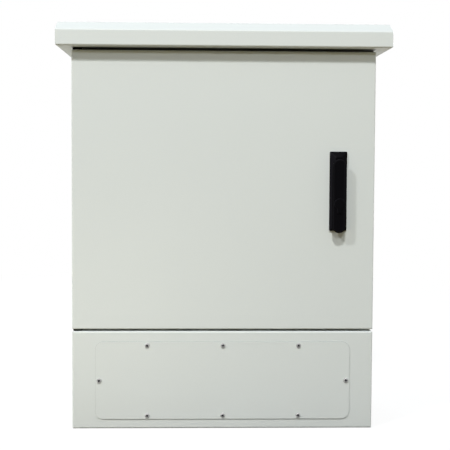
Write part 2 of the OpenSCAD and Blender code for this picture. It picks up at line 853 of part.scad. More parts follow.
spindle_r = 7;
module handle_base() {
    screw_hole_depth = base_h - 3;
    color(black_zinc) difference() {
        union() {
            intersection() {
                translate([lock_x, 0, base_mid_z - base_l / 2]) linear_extrude(base_l)
                    polygon(base_points(base_w));
                along_x(lock_x - base_w / 2, base_w) polygon(side_on(base_points(base_l), base_mid_z));
                translate([lock_x, 0, base_mid_z]) frontwards(base_back_y, base_h)
                    rounded_rectangle(base_w, base_l, 2);
            }
            rod_front(lock_x, door_inner_y, lock_z, door_inner_y - base_back_y, neck_r);
        }
        rod_front(lock_x, door_inner_y + 1, lock_z, door_inner_y - base_front_y + 2, spindle_r + running);
        handle_holes(base_back_y + 1, screw_hole_depth + 1, thread_clear);
    }
}

// Lever, which turns with the spindle about Y and lifts about its pin along X

lever_edge = 2;
pin_r = 2;
pin_rise = 6;
pin_z = lock_z + pin_rise;
pin_y = lever_back_y - 4.5;
pin_half = sqrt(pow(lever_r, 2) - pow(pin_rise - lever_rise, 2)) - 0.3;
tang_w = 10;
tang_r = 4.3;
tang_drop = 5;
pocket_drop = pin_rise + tang_drop + tang_r;
key_floor = 2;
key_l = lever_t - key_floor;
dust_pivot_drop = 15;
dust_pivot_z = key_z - dust_pivot_drop;
dust_t = 1.6;
dust_gap = 0.2;
dust_back_y = lever_front_y - dust_gap;
rivet_r = 1.5;
rivet_head_r = 3.2;
rivet_head_h = 0.5;

// The lever's stadium with a bevelled front edge
module lever_blank() {
    body_t = lever_t - lever_edge;
    hull() for (z = [lock_z + lever_rise, lever_tip_mid_z]) {
        rod_front(lock_x, lever_back_y, z, body_t, lever_r);
        rod_front(lock_x, lever_back_y - body_t, z, lever_edge, lever_r - lever_edge);
    }
}

module handle_lever() {
    pocket_w = tang_w + 2 * loose;
    pocket_r = tang_r + lever_gap + thread_clear;
    color(black_zinc) difference() {
        lever_blank();
        block([lock_x - pocket_w / 2, pin_y - pocket_r, pin_z - pocket_drop],
              [lock_x + pocket_w / 2, lever_back_y + 1, pin_z]);
        rod_x(lock_x - pocket_w / 2, pin_y, pin_z, pocket_w, pocket_r);
        translate([lock_x, pin_y, pin_z]) rotate([45, 0, 0]) translate([-lever_w, tang_r - 0.1, -lever_w])
            cube([2 * lever_w, lever_w, 2 * lever_w]);
        rod_x(lock_x - lever_w, pin_y, pin_z, 2 * lever_w, pin_r + press);
        rod_front(lock_x, lever_front_y + key_l, key_z, key_l + 1, key_d / 2 + running);
        rod_front(lock_x, lever_front_y + 6, dust_pivot_z, 7, rivet_r + press);
    }
}

module lever_pin() {
    color(bright_zinc) rod_x(lock_x - pin_half, pin_y, pin_z, 2 * pin_half, pin_r);
}

module key_cylinder() {
    slot_w = 1.6;
    slot_l = key_d * 0.6;
    color(bright_zinc) difference() {
        rod_front(lock_x, lever_front_y + key_l, key_z, key_l, key_d / 2);
        block([lock_x - slot_w / 2, lever_front_y - 1, key_z - slot_l / 2],
              [lock_x + slot_w / 2, lever_front_y + key_l * 0.7, key_z + slot_l / 2]);
    }
}

module dust_cover() {
    tail_r = 5;
    tail_w = tail_r * 1.7;
    color(black_zinc) difference() {
        translate([lock_x, 0, dust_pivot_z]) frontwards(dust_back_y, dust_t) union() {
            translate([0, dust_pivot_drop]) circle(d = dust_d);
            circle(r = tail_r);
            translate([-tail_w / 2, 0]) square([tail_w, dust_pivot_drop]);
        }
        rod_front(lock_x, dust_back_y + 1, dust_pivot_z, dust_t + 2, rivet_r + running);
    }
}

module dust_rivet() {
    color(black_zinc) {
        rod_front(lock_x, lever_front_y + 5, dust_pivot_z, 5 + 2 * dust_gap + dust_t, rivet_r);
        rod_front(lock_x, dust_back_y - dust_t - dust_gap, dust_pivot_z, rivet_head_h, rivet_head_r);
    }
}

// Rod lock

pressure = 25;
addendum = 0.8 * gear_module;
dedendum = 1.05 * gear_module;
backlash = 0.3;
pitch_r = gear_module * gear_teeth / 2;
base_circle_r = pitch_r * cos(pressure);
tip_r = pitch_r + addendum;
root_r = pitch_r - dedendum;
tooth_pitch = PI * gear_module;
half_tooth = (tooth_pitch - backlash) / 4;
flank_steps = 5;

function involute(r) = let (a = acos(min(1, base_circle_r / r))) tan(a) * 180 / PI - a;
function tooth_angle(r) =
    half_tooth / pitch_r * 180 / PI + involute(pitch_r) - involute(max(r, base_circle_r));
function flank_r(k) = base_circle_r + (tip_r - base_circle_r) * k / flank_steps;

// One tooth's outline, from its root on one side over the tip to its root on the other
function tooth_points(middle) = concat(
    [polar(root_r, middle - tooth_angle(base_circle_r))],
    [for (k = [0:flank_steps]) polar(flank_r(k), middle - tooth_angle(flank_r(k)))],
    [for (k = [0:flank_steps]) let (r = flank_r(flank_steps - k)) polar(r, middle + tooth_angle(r))],
    [polar(root_r, middle + tooth_angle(base_circle_r))]
);
function polar(r, a) = [r * cos(a), r * sin(a)];

rod_front_y = frame_back_y + 2;
rod_back_y = rod_front_y + rod_t;
rod_mid_y = rod_front_y + rod_t / 2;
rack_x = pitch_r + dedendum;
rod_out_x = rack_x + rod_w;
rod_mid_x = rack_x + rod_w / 2;
rod_tail = 12;
rod_tip_l = 8;
upper_rod_l = opening_high_z + rod_reach - rod_tip_l - lock_z;
lower_rod_l = lock_z - opening_low_z + rod_reach - rod_tip_l;
rod_travel = pitch_r * PI / 2;

case_wall = 2.5;
case_front_t = 2;
case_w = 2 * (rod_out_x + loose + case_wall);
case_h = 2 * (rod_tail + rod_travel + 2.5);
case_front_y = rod_front_y - loose - case_front_t;
case_back_y = rod_back_y + loose;
gear_cover_t = 3;
gear_cover_y = case_back_y + gear_cover_t;
hub_r = 7.5;
square_w = 8;
cam_t = 3;
cam_w = 16;
cam_y = gear_cover_y + 0.5;
cam_back_y = cam_y + cam_t;
countersink_h = 2.4;

module lock_spacers() {
    color(galvanised) for (z = lock_screw_places) difference() {
        rod_front(lock_x, case_front_y, z, case_front_y - door_inner_y, 5);
        rod_front(lock_x, case_front_y + 1, z, case_front_y - door_inner_y + 2, small_screw[0] + loose);
    }
}

// Hollow of the gearbox: the pinion's round and a channel for each rack
module case_hollow() {
    circle(r = tip_r + loose);
    for (s = [-1, 1])
        translate([s > 0 ? pitch_r - addendum - loose : -rod_out_x - loose, -case_h])
            square([rod_w + addendum + dedendum + 2 * loose, 2 * case_h]);
}

module gearbox_case() {
    color(galvanised) difference() {
        translate([lock_x, 0, lock_z]) union() {
            frontwards(case_back_y, case_back_y - case_front_y - case_front_t / 2) difference() {
                square([case_w, case_h], center = true);
                case_hollow();
            }
            frontwards(case_front_y + case_front_t, case_front_t) square([case_w, case_h], center = true);
        }
        rod_front(lock_x, case_back_y + 1, lock_z, case_back_y - case_front_y + 2, hub_r + running);
        for (z = lock_screw_places)
            rod_front(lock_x, case_back_y + 1, z, case_back_y - case_front_y + 2, small_screw[0] + loose);
    }
}

module gearbox_cover() {
    color(galvanised) difference() {
        translate([lock_x, 0, lock_z]) frontwards(gear_cover_y, gear_cover_t)
            square([case_w, case_h], center = true);
        rod_front(lock_x, gear_cover_y + 1, lock_z, gear_cover_t + 2, hub_r + running);
        for (z = lock_screw_places) {
            rod_front(lock_x, gear_cover_y + 1, z, gear_cover_t + 2, small_screw[0] + loose);
            translate([lock_x, gear_cover_y, z]) rotate([90, 0, 0])
                cylinder(h = countersink_h, r1 = small_screw[1] + thread_clear,
                         r2 = small_screw[0] + thread_clear);
        }
    }
}

// Two long countersunk screws through the gearbox and one short screw at the handle's foot
module lock_screws() {
    end_y = base_back_y - base_h + 4;
    color(bright_zinc) {
        for (z = lock_screw_places) {
            translate([lock_x, gear_cover_y, z]) rotate([90, 0, 0])
                cylinder(h = countersink_h, r1 = small_screw[1], r2 = small_screw[0]);
            rod_front(lock_x, gear_cover_y - countersink_h, z, gear_cover_y - countersink_h - end_y,
                      small_screw[0]);
        }
        translate([lock_x, door_inner_y, foot_screw_z]) rotate([-90, 0, 0])
            pan_screw(small_screw, door_inner_y - end_y);
    }
}

// A folded guide on the door with a slot for a rod
guide_t = 2;
guide_w = 24;
guide_foot = 22;
guide_inset = 48;
module rod_guide(side, z) {
    x = lock_x + side * rod_mid_x;
    y = door_inner_y + guide_t / 2;
    color(galvanised) difference() {
        along_x(x - guide_w / 2, guide_w)
            folded_sheet([[y, z - side * guide_foot], [y, z], [rod_back_y + 5, z]], guide_t);
        block([x - rod_w / 2 - loose, rod_front_y - loose, z - guide_t],
              [x + rod_w / 2 + loose, rod_back_y + loose, z + guide_t]);
    }
}
upper_guide_z = lock_z + upper_rod_l - guide_inset;
lower_guide_z = lock_z - lower_rod_l + guide_inset;

// The spindle: a round journal in the base, a collar inside the door, a square and the lever's tang
module lock_spindle() {
    collar_y = door_inner_y + 0.3;
    collar_t = 2;
    color(bright_zinc) difference() {
        union() {
            rod_front(lock_x, collar_y, lock_z, collar_y - base_front_y + journal_proud, spindle_r);
            rod_front(lock_x, collar_y + collar_t, lock_z, collar_t, neck_r - 0.5);
            block([lock_x - square_w / 2, collar_y + collar_t / 2, lock_z - square_w / 2],
                  [lock_x + square_w / 2, cam_back_y - 0.3, lock_z + square_w / 2]);
            block([lock_x - tang_w / 2, pin_y - tang_r, lock_z - tang_drop],
                  [lock_x + tang_w / 2, base_front_y - journal_proud / 2, pin_z]);
            rod_x(lock_x - tang_w / 2, pin_y, pin_z, tang_w, tang_r);
        }
        rod_x(lock_x - tang_w, pin_y, pin_z, 2 * tang_w, pin_r + running);
        rod_front(lock_x, cam_back_y, lock_z, 14, small_screw[0] + thread_clear);
    }
}

module square_bore(y, depth) {
    w = square_w + 2 * running;
    block([lock_x - w / 2, y - depth, lock_z - w / 2], [lock_x + w / 2, y, lock_z + w / 2]);
}

module pinion() {
    color(bright_zinc) difference() {
        union() {
            translate([lock_x, 0, lock_z]) frontwards(rod_back_y, rod_t)
                polygon([for (i = [0:gear_teeth - 1]) each tooth_points(360 * i / gear_teeth)]);
            rod_front(lock_x, gear_cover_y, lock_z, gear_cover_y - case_front_y, hub_r);
        }
        square_bore(gear_cover_y + 1, gear_cover_y - case_front_y + 2);
    }
}

// The cranked latch cam: flat behind the gearbox, then folded forwards to reach behind the frame
module latch_cam() {
    nose_y = frame_back_y + 1 + cam_t / 2;
    crank_x = sqrt(pow(case_w, 2) + pow(case_h, 2)) / 2 + 1 + cam_t / 2;
    color(galvanised) difference() {
        union() {
            translate([lock_x, 0, lock_z - cam_w / 2]) linear_extrude(cam_w) folded_sheet([
                [0, cam_y + cam_t / 2], [crank_x, cam_y + cam_t / 2], [crank_x, nose_y], [cam_l, nose_y]
            ], cam_t);
            rod_front(lock_x, cam_back_y, lock_z, cam_t, cam_w * 0.7);
        }
        square_bore(cam_back_y + 1, cam_t + 2);
    }
}

module cam_screw() {
    color(bright_zinc) translate([lock_x, cam_back_y, lock_z]) rotate([-90, 0, 0])
        pan_screw([small_screw[0], hub_r, small_screw[2]], 12);
}

// A rod in the plane of the lock, standing up from the axis, with its rack towards the pinion
function rack_tooth(middle) = [
    [rack_x, middle + half_tooth + dedendum * tan(pressure)],
    [pitch_r - addendum, middle + half_tooth - addendum * tan(pressure)],
    [pitch_r - addendum, middle - half_tooth + addendum * tan(pressure)],
    [rack_x, middle - half_tooth - dedendum * tan(pressure)]
];
rack_teeth = ceil((rod_travel + tip_r) / tooth_pitch) + 1;
module rod_outline(length) {
    polygon(concat(
        [[rod_out_x, -rod_tail], [rod_out_x, length], [rack_x, length]],
        [for (k = [0:rack_teeth - 1]) each rack_tooth((rack_teeth - 2.5 - k) * tooth_pitch)],
        [[rack_x, -rod_tail]]
    ));
}

module rod_tip_outline(length) {
    low = rack_x - 0.5;
    high = rod_out_x + 0.5;
    polygon([
        [low, length], [low, length + rod_tip_l - 3], [low + 2.5, length + rod_tip_l],
        [high - 2.5, length + rod_tip_l], [high, length + rod_tip_l - 3], [high, length]
    ]);
}

module lock_plane(y, depth, turn) {
    translate([lock_x, 0, lock_z]) rotate([0, turn, 0]) frontwards(y, depth) children();
}

module upper_rod() {
    color(galvanised) lock_plane(rod_back_y, rod_t, 0) rod_outline(upper_rod_l);
}

module upper_rod_tip() {
    color(black_nylon) lock_plane(rod_back_y + 0.5, rod_t + 1, 0) rod_tip_outline(upper_rod_l);
}

module lower_rod() {
    color(galvanised) lock_plane(rod_back_y, rod_t, 180) rod_outline(lower_rod_l);
}

module lower_rod_tip() {
    color(black_nylon) lock_plane(rod_back_y + 0.5, rod_t + 1, 180) rod_tip_outline(lower_rod_l);
}

// Nodes that take a place or a side

module roof_rail_front() { roof_rail(body_mid_y - rail_spread); }
module roof_rail_rear() { roof_rail(body_mid_y + rail_spread); }
module roof_bracket_left() { roof_bracket(-1); }
module roof_bracket_right() { roof_bracket(1); }
module hinge_plate_upper() { hinge_plate(upper_plate_z); }
module hinge_plate_lower() { hinge_plate(lower_plate_z); }
module hinge_pin_upper() { hinge_pin(door_top_z - sheet_t - pin_depth, upper_plate_z + hinge_plate_t); }
module hinge_pin_lower() { hinge_pin(lower_plate_z, door_z + sheet_t + pin_depth); }
module pivot_block_upper() { pivot_block(door_top_z - sheet_t - pivot_block_h); }
module pivot_block_lower() { pivot_block(door_z + sheet_t); }
module rod_guide_upper() { rod_guide(1, upper_guide_z); }
module rod_guide_lower() { rod_guide(-1, lower_guide_z); }

plinth_frame();
plinth_cover();
plinth_cover_screws();
plinth_cover_nuts();
body_wrap();
body_top();
body_floor();
body_bolts();
body_nuts();
gland_seal();
gland_plate();
gland_screws();
cable_grommets();
mounting_plate();
mounting_studs();
mounting_nuts();
earth_stud();
earth_nuts();
roof();
roof_rail_front();
roof_rail_rear();
roof_bracket_left();
roof_bracket_right();
roof_bolts();
roof_side_screws();
hinge_plate_upper();
hinge_plate_lower();
hinge_pin_upper();
hinge_pin_lower();
hinge_washer();
door_panel();
door_seal();
pivot_block_upper();
pivot_block_lower();
handle_seal();
handle_base();
lock_spacers();
gearbox_case();
gearbox_cover();
lock_screws();
rod_guide_upper();
rod_guide_lower();
lock_spindle();
pinion();
latch_cam();
cam_screw();
handle_lever();
lever_pin();
dust_rivet();
dust_cover();
key_cylinder();
upper_rod();
upper_rod_tip();
lower_rod();
lower_rod_tip();
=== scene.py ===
import json
import math

import bmesh
import bpy
from mathutils import Matrix, Vector

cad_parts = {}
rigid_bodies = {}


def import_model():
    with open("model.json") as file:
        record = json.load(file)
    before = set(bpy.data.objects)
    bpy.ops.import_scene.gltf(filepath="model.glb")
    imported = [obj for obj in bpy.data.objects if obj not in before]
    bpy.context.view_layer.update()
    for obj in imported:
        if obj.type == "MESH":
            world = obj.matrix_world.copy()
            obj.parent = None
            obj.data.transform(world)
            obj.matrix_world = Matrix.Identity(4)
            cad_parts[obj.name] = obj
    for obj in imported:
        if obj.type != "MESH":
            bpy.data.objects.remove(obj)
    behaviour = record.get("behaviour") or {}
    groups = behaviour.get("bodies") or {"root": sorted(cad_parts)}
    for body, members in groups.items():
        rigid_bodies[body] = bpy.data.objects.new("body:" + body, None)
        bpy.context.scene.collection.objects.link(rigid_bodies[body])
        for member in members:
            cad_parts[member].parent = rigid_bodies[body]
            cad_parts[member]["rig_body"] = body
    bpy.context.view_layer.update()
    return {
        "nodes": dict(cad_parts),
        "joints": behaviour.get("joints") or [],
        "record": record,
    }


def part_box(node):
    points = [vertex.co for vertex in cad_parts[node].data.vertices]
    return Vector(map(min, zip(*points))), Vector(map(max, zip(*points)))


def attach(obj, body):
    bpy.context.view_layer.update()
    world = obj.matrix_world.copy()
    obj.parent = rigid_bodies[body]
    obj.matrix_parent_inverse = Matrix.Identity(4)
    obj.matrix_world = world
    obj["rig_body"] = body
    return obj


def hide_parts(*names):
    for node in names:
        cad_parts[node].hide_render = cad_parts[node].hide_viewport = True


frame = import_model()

bl_info = {
    "name": "Roadside utility cabinet",
    "version": (1, 0, 0),
    "blender": (4, 5, 0),
    "location": "View3D > Sidebar > Cabinet",
    "description": "Finishes and fine pieces of a sheet steel street cabinet, round its packed solids",
    "category": "Object",
}

MM = 0.001

NODE_SLOTS = {part["node"]: part["material_slot"] for part in frame["record"]["subparts"]}
FINISHES = {}
# Names of the face attributes that carry painted shade and painted highlights
PAINTED_SHADE = "dirt"
PAINTED_HIGHLIGHT = "wear"

# Directions, and axes by their number in a vector
FRONT = Vector((0, -1, 0))
BACK = Vector((0, 1, 0))
RIGHT = Vector((1, 0, 0))
UP = Vector((0, 0, 1))
Y = 1
Z = 2

# Angles in radians, and a distance in metres that counts as none
QUARTER_TURN = math.pi / 2
SMOOTH_ANGLE = math.radians(32)
SHARP_ANGLE = 1
NEAR = 1e-6

# Shares of a face's normal along an axis, by which faces are told apart
ALIGNED = 0.999
FLAT = 0.97
FACING = 0.9
STEEP = 0.5
SLOPED = 0.3
UPRIGHT = 0.1


# Settings that a user would change


def length(name, description, millimetres):
    """A length setting, given in millimetres and kept in metres."""
    return bpy.props.FloatProperty(
        name=name, description=description, default=millimetres * MM, min=0, unit="LENGTH", precision=4)


def colour(name, description, red, green, blue):
    """A colour setting, in linear values."""
    return bpy.props.FloatVectorProperty(
        name=name, description=description, default=(red, green, blue), size=3, min=0, max=1,
        subtype="COLOR")


def power(name, description, watts):
    """A lamp's power setting."""
    return bpy.props.FloatProperty(
        name=name, description=description, default=watts, min=0, unit="POWER")


class CabinetColours(bpy.types.PropertyGroup):
    """Colours of the cabinet's finishes."""

    paint: colour("Paint", "Light grey powder coat on the sheet steel", 0.622, 0.66, 0.652)
    black: colour("Black coat", "Powder coat on the cast handle", 0.0021, 0.0020, 0.0027)
    # The worn coat is a painted highlight: a paler black on the handle's slopes and edges that face the
    # lamps
    highlight_coat: colour("Worn coat", "Paler coat on the handle's worn slopes and edges", 0.0125, 0.0122, 0.0155)
    bright: colour("Bright zinc", "Zinc plate on screws, studs and pins", 0.60, 0.61, 0.63)
    screw: colour("Screw heads", "Weathered zinc on the outside screws", 0.36, 0.36, 0.36)
    dull: colour("Galvanised", "Hot-dip zinc on brackets, rails and rods", 0.42, 0.44, 0.45)
    rubber: colour("Rubber", "Foamed and moulded seals", 0.018, 0.018, 0.019)
    nylon: colour("Nylon", "Black nylon of the rod tips and the washer", 0.028, 0.028, 0.03)
    brass: colour("Brass", "Bare brass of the earth stud", 0.58, 0.42, 0.15)


class CabinetSizes(bpy.types.PropertyGroup):
    """Sizes of the pieces that are modelled here."""

    base_wall: length("Base wall", "Height of the handle base's upright wall", 3)
    base_slope: length("Base slope", "Width of the slope round the handle base", 11)
    base_hip: length("Base hip", "Width of the rounded hips between the handle base's slopes", 1.6)
    base_corner: length("Base corner", "Rounding of the handle base's corners", 2)
    cast_edge: length("Cast edge", "Rounding of the handle's cast edges", 0.6)
    lever_rim: length("Lever rim", "Rounding of the lever's front edge", 2.2)
    lever_dish: length("Lever dish", "Depth of the lever's shallow dished face", 0.35)
    cover_edge: length("Dust cover edge", "Rounding of the dust cover's edge", 1.2)
    keyway: length("Keyway", "Width of the slot for the key", 1.6)
    plate_corner: length("Plate corner", "Corner radius of the plinth cover", 16)
    plate_edge: length("Plate edge", "Rounding of the plinth cover's front edge", 0.4)
    cover_pitch: length("Cover screw pitch", "Spacing of the plinth cover's screws", 151)
    small_head: length("Small screw head", "Diameter of the small screws' heads", 9.6)
    medium_head: length("Medium screw head", "Diameter of the medium screws' heads", 11)
    seal_width: length("Seal width", "Width of the foamed door seal", 16)
    gasket_overlap: length("Gasket overlap", "Width of the gland plate's gasket", 20)
    grommet_bead: length("Grommet bead", "Height of the grommets' beads", 3)


class CabinetLamps(bpy.types.PropertyGroup):
    """Powers of the studio lamps."""

    key: power("Key", "Lamp high above and in front", 336)
    side: power("Side", "Lamp above, in front and to the left", 62)
    front: power("Front", "Lamp in front, at half the key lamp's height", 80)
    fill: power("Fill", "Soft low lamp in front, on the left", 0.28)
    sides: power("Sides", "Soft low lamps on the left and on the right", 21)
    rear: power("Rear", "Soft lamp behind the cabinet", 40)


# Shader maths


class Value:
    """A shader value that plain arithmetic combines into Math nodes."""

    def __init__(self, nodes, socket):
        self.nodes = nodes
        self.socket = socket

    def combine(self, operation, first, second):
        """One Math node of two values or numbers."""
        return self.nodes.node("ShaderNodeMath", {"operation": operation}, {0: first, 1: second})

    def __add__(self, other):
        return self.combine("ADD", self, other)

    def __sub__(self, other):
        return self.combine("SUBTRACT", self, other)

    def __rsub__(self, other):
        return self.combine("SUBTRACT", other, self)

    def __mul__(self, other):
        return self.combine("MULTIPLY", self, other)

    def __truediv__(self, other):
        return self.combine("DIVIDE", self, other)

    __radd__ = __add__
    __rmul__ = __mul__


class Nodes:
    """The nodes of a material or of the surroundings, emptied to start with."""

    def __init__(self, owner):
        owner.use_nodes = True
        self.tree = owner.node_tree
        self.tree.nodes.clear()

    def feed(self, node, inputs):
        """Set or link a node's inputs."""
        for key, value in inputs.items():
            if isinstance(value, Value):
                self.tree.links.new(value.socket, node.inputs[key])
            else:
                node.inputs[key].default_value = value

    def node(self, kind, settings, inputs, output=0):
        """Add a node: its settings first, then its inputs, and give back one of its outputs."""
        made = self.tree.nodes.new(kind)
        for key, value in settings.items():
            if key == "stops":
                self.set_stops(made.color_ramp, value)
            else:
                setattr(made, key, value)
        self.feed(made, inputs)
        return Value(self, made.outputs[output])

    @staticmethod
    def set_stops(ramp, stops):
        """Give a ramp its stops, as pairs of a place and a grey level."""
        while len(ramp.elements) < len(stops):
            ramp.elements.new(1)
        for element, (place, level) in zip(ramp.elements, stops):
            element.position = place
            element.color = (level, level, level, 1)


class Finish(Nodes):
    """A node material in the making, with one principled shader."""

    def __init__(self, name, **constants):
        self.material = bpy.data.materials.new(name)
        super().__init__(self.material)
        self.shader = self.tree.nodes.new("ShaderNodeBsdfPrincipled")
        self.output = self.tree.nodes.new("ShaderNodeOutputMaterial")
        self.tree.links.new(self.shader.outputs[0], self.output.inputs["Surface"])
        self.feed(self.shader, {key.replace("_", " "): value for key, value in constants.items()})

    def place(self):
        """The point on the piece, in the cabinet's own frame."""
        return self.node("ShaderNodeTexCoord", {}, {}, "Object")

    def axis(self, name):
        """One coordinate of the point on the piece."""
        return self.node("ShaderNodeSeparateXYZ", {}, {0: self.place()}, name)

    def stretched(self, x, y, z):
        """The point on the piece with its axes stretched."""
        return self.node("ShaderNodeMapping", {}, {"Vector": self.place(), "Scale": (x, y, z)})

    def marked(self, name):
        """The painted shade or painted highlight marked on a piece's faces, nothing where none is marked.
        """
        return self.node("ShaderNodeAttribute", {"attribute_name": name}, {}, "Fac")

    def noise(self, scale, detail=2, place=None):
        """Soft noise about a middle of 0.5."""
        inputs = {"Vector": place or self.place(), "Scale": scale, "Detail": detail}
        return self.node("ShaderNodeTexNoise", {}, inputs, "Fac")

    def ramp(self, value, *stops):
        """A value run through a ramp of grey levels."""
        return self.node("ShaderNodeValToRGB", {"stops": stops}, {"Fac": value})

    def mix(self, share, first, second):
        """Two colours mixed by a share."""
        colours = {6: opaque(first), 7: opaque(second)}
        return self.node("ShaderNodeMix", {"data_type": "RGBA"}, {0: share, **colours}, 2)

    def bump(self, height, strength, distance):
        """A surface normal raised by a height, over a distance in millimetres."""
        inputs = {"Height": height, "Strength": strength, "Distance": distance * MM}
        return self.node("ShaderNodeBump", {}, inputs)

    def done(self, base, roughness, normal=None):
        """Feed the shader and give back the finished material."""
        self.feed(self.shader, {"Base Color": base, "Roughness": roughness})
        if normal:
            self.feed(self.shader, {"Normal": normal})
        return self.material


def opaque(value):
    """A colour with its alpha, or a shader value as it is."""
    return value if isinstance(value, Value) else (*tuple(value)[:3], 1)


def tinted(value, factor):
    """A colour made lighter or darker."""
    return tuple(min(1, channel * factor) for channel in value)


# Finishes


DUST = (0.42, 0.40, 0.34)
DUST_HEIGHT = 0.22
# Dark grey of the painted shade in the gap under the roof and on marked edges
PAINTED_SHADE_GREY = (0.05, 0.05, 0.045)
# Near black of the painted shade in recesses
RECESS_PAINTED_SHADE = (0.012, 0.012, 0.015)


def paint_finish(colours):
    """Light grey powder coat: orange peel, faint clouds, dust near the ground, and painted shade in the gap
    under the roof and on marked edges.
    """
    made = Finish("light_grey_powder_coat", Specular_IOR_Level=0.35)
    cloud = made.noise(scale=5, detail=3)
    grain = made.noise(scale=700)
    height = made.axis("Z")
    dust = made.ramp(height / DUST_HEIGHT + (cloud - 0.5) * 0.5, (0, 1), (0.35, 0.35), (1, 0))
    base = made.mix(cloud, tinted(colours.paint, 0.985), tinted(colours.paint, 1.015))
    base = made.mix(made.ramp(grain, (0.3, 0), (0.7, 1)) * 0.35, base, tinted(colours.paint, 0.93))
    base = made.mix(dust * 0.12, base, DUST)
    # Painted shade: the marked edges and the gap under the roof are darkened
    painted_gap_shade = made.marked(PAINTED_SHADE) * 0.6 + roof_gap_painted_shade(made, height) * 0.9
    base = made.mix(painted_gap_shade, base, PAINTED_SHADE_GREY)
    peel = made.noise(scale=420, detail=1) * 0.7 + grain * 0.3
    roughness = 0.44 + (cloud - 0.5) * 0.08 + dust * 0.1
    normal = made.bump(peel, strength=0.12, distance=0.12)
    return made.done(base, roughness, normal)


def roof_gap_painted_shade(made, height):
    """Painted shade in the gap between the door's top and the roof, above and behind the door."""
    door_low, door_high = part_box("door_panel")
    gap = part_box("roof")[0].z - door_high.z
    above = made.ramp((height - door_high.z) / (2 * gap), (0.05, 0), (0.15, 1), (0.8, 1), (0.9, 0))
    depth = door_high.y - door_low.y
    inwards = made.axis("Y") - door_low.y + depth / 4
    behind = made.ramp(inwards / (2 * depth), (0, 0), (0.2, 1), (0.9, 1), (1, 0))
    beside = made.node("ShaderNodeMath", {"operation": "ABSOLUTE"}, {0: made.axis("X")})
    within = made.node("ShaderNodeMath", {"operation": "LESS_THAN"}, {0: beside, 1: door_high.x})
    return above * behind * within


def black_finish(colours):
    """Black powder coat on a casting: a fine grain, with painted highlights paler on the slopes that face
    the lamps, and painted shade darker and duller on the walls in shadow.
    """
    made = Finish("black_powder_coat", Specular_IOR_Level=0.02)
    grain = made.noise(scale=1500)
    patches = made.noise(scale=60, detail=4)
    dirt = made.marked(PAINTED_SHADE)
    base = made.mix(grain, tinted(colours.black, 0.7), tinted(colours.black, 1.5))
    base = made.mix(dirt, base, tinted(colours.black, 0.4))
    base = made.mix(made.marked(PAINTED_HIGHLIGHT), base, colours.highlight_coat)
    roughness = 0.3 + patches * 0.14 + dirt * 0.5
    normal = made.bump(grain, strength=0.2, distance=0.06)
    return made.done(base, roughness, normal)


def bright_finish(colours):
    """Bright zinc plate with a faint bloom and fine scratches."""
    made = Finish("bright_zinc_plate", Metallic=1.0)
    bloom = made.noise(scale=180, detail=4)
    base = made.mix(bloom, tinted(colours.bright, 0.72), tinted(colours.bright, 1.08))
    scratches = made.noise(scale=900, place=made.stretched(1, 1, 0.08))
    roughness = 0.2 + bloom * 0.22
    normal = made.bump(scratches, strength=0.12, distance=0.05)
    return made.done(base, roughness, normal)


def screw_finish(colours):
    """Weathered zinc on a screw head, with painted shade darkening its recess."""
    made = Finish("weathered_screw_zinc")
    dirt = made.marked(PAINTED_SHADE)
    bloom = made.noise(scale=260, detail=4)
    base = made.mix(bloom, tinted(colours.screw, 0.9), tinted(colours.screw, 1.3))
    base = made.mix(dirt, base, RECESS_PAINTED_SHADE)
    made.feed(made.shader, {"Metallic": 0.5 - dirt * 0.5})
    roughness = 0.35 + bloom * 0.15 + dirt * 0.3
    normal = made.bump(made.noise(scale=1400), strength=0.1, distance=0.05)
    return made.done(base, roughness, normal)


def dull_finish(colours):
    """Hot-dip zinc with its crystal spangle."""
    made = Finish("galvanised_sheet", Metallic=1.0)
    inputs = {"Vector": made.place(), "Scale": 150, "Randomness": 1}
    crystal = made.node("ShaderNodeTexVoronoi", {}, inputs, "Color")
    level = made.node("ShaderNodeSeparateColor", {}, {0: crystal}, "Red")
    stain = made.noise(scale=20, detail=4)
    base = made.mix(level, tinted(colours.dull, 0.75), tinted(colours.dull, 1.25))
    base = made.mix(made.ramp(stain, (0.45, 0), (0.8, 1)) * 0.5, base, tinted(colours.dull, 0.8))
    roughness = 0.36 + level * 0.16
    normal = made.bump(made.noise(scale=500), strength=0.1, distance=0.08)
    return made.done(base, roughness, normal)


def rubber_finish(colours):
    """Matt black foam and rubber with a fine open skin."""
    made = Finish("black_rubber", Specular_IOR_Level=0.3)
    pores = made.node("ShaderNodeTexVoronoi", {}, {"Vector": made.place(), "Scale": 900}, "Distance")
    bloom = made.noise(scale=40, detail=4)
    base = made.mix(bloom, tinted(colours.rubber, 0.8), tinted(colours.rubber, 1.7))
    roughness = 0.7 + bloom * 0.2
    normal = made.bump(pores, strength=0.35, distance=0.15)
    return made.done(base, roughness, normal)


def nylon_finish(colours):
    """Black moulded nylon with a waxy skin."""
    made = Finish("black_nylon", Specular_IOR_Level=0.4)
    cloud = made.noise(scale=120, detail=3)
    base = made.mix(cloud, tinted(colours.nylon, 0.8), tinted(colours.nylon, 1.3))
    roughness = 0.38 + cloud * 0.12
    normal = made.bump(made.noise(scale=600), strength=0.08, distance=0.1)
    return made.done(base, roughness, normal)


def brass_finish(colours):
    """Bare turned brass, a little dulled."""
    made = Finish("bare_brass", Metallic=1.0)
    tarnish = made.noise(scale=140, detail=4)
    base = made.mix(tarnish, tinted(colours.brass, 0.62), tinted(colours.brass, 1.15))
    turning = made.noise(scale=1200, place=made.stretched(0.1, 0.1, 1))
    roughness = 0.24 + tarnish * 0.2
    normal = made.bump(turning, strength=0.15, distance=0.05)
    return made.done(base, roughness, normal)


FINISH_MAKERS = {
    "paint": paint_finish,
    "black_zinc": black_finish,
    "bright_zinc": bright_finish,
    "screw": screw_finish,
    "galvanised": dull_finish,
    "rubber": rubber_finish,
    "nylon": nylon_finish,
    "brass": brass_finish,
}


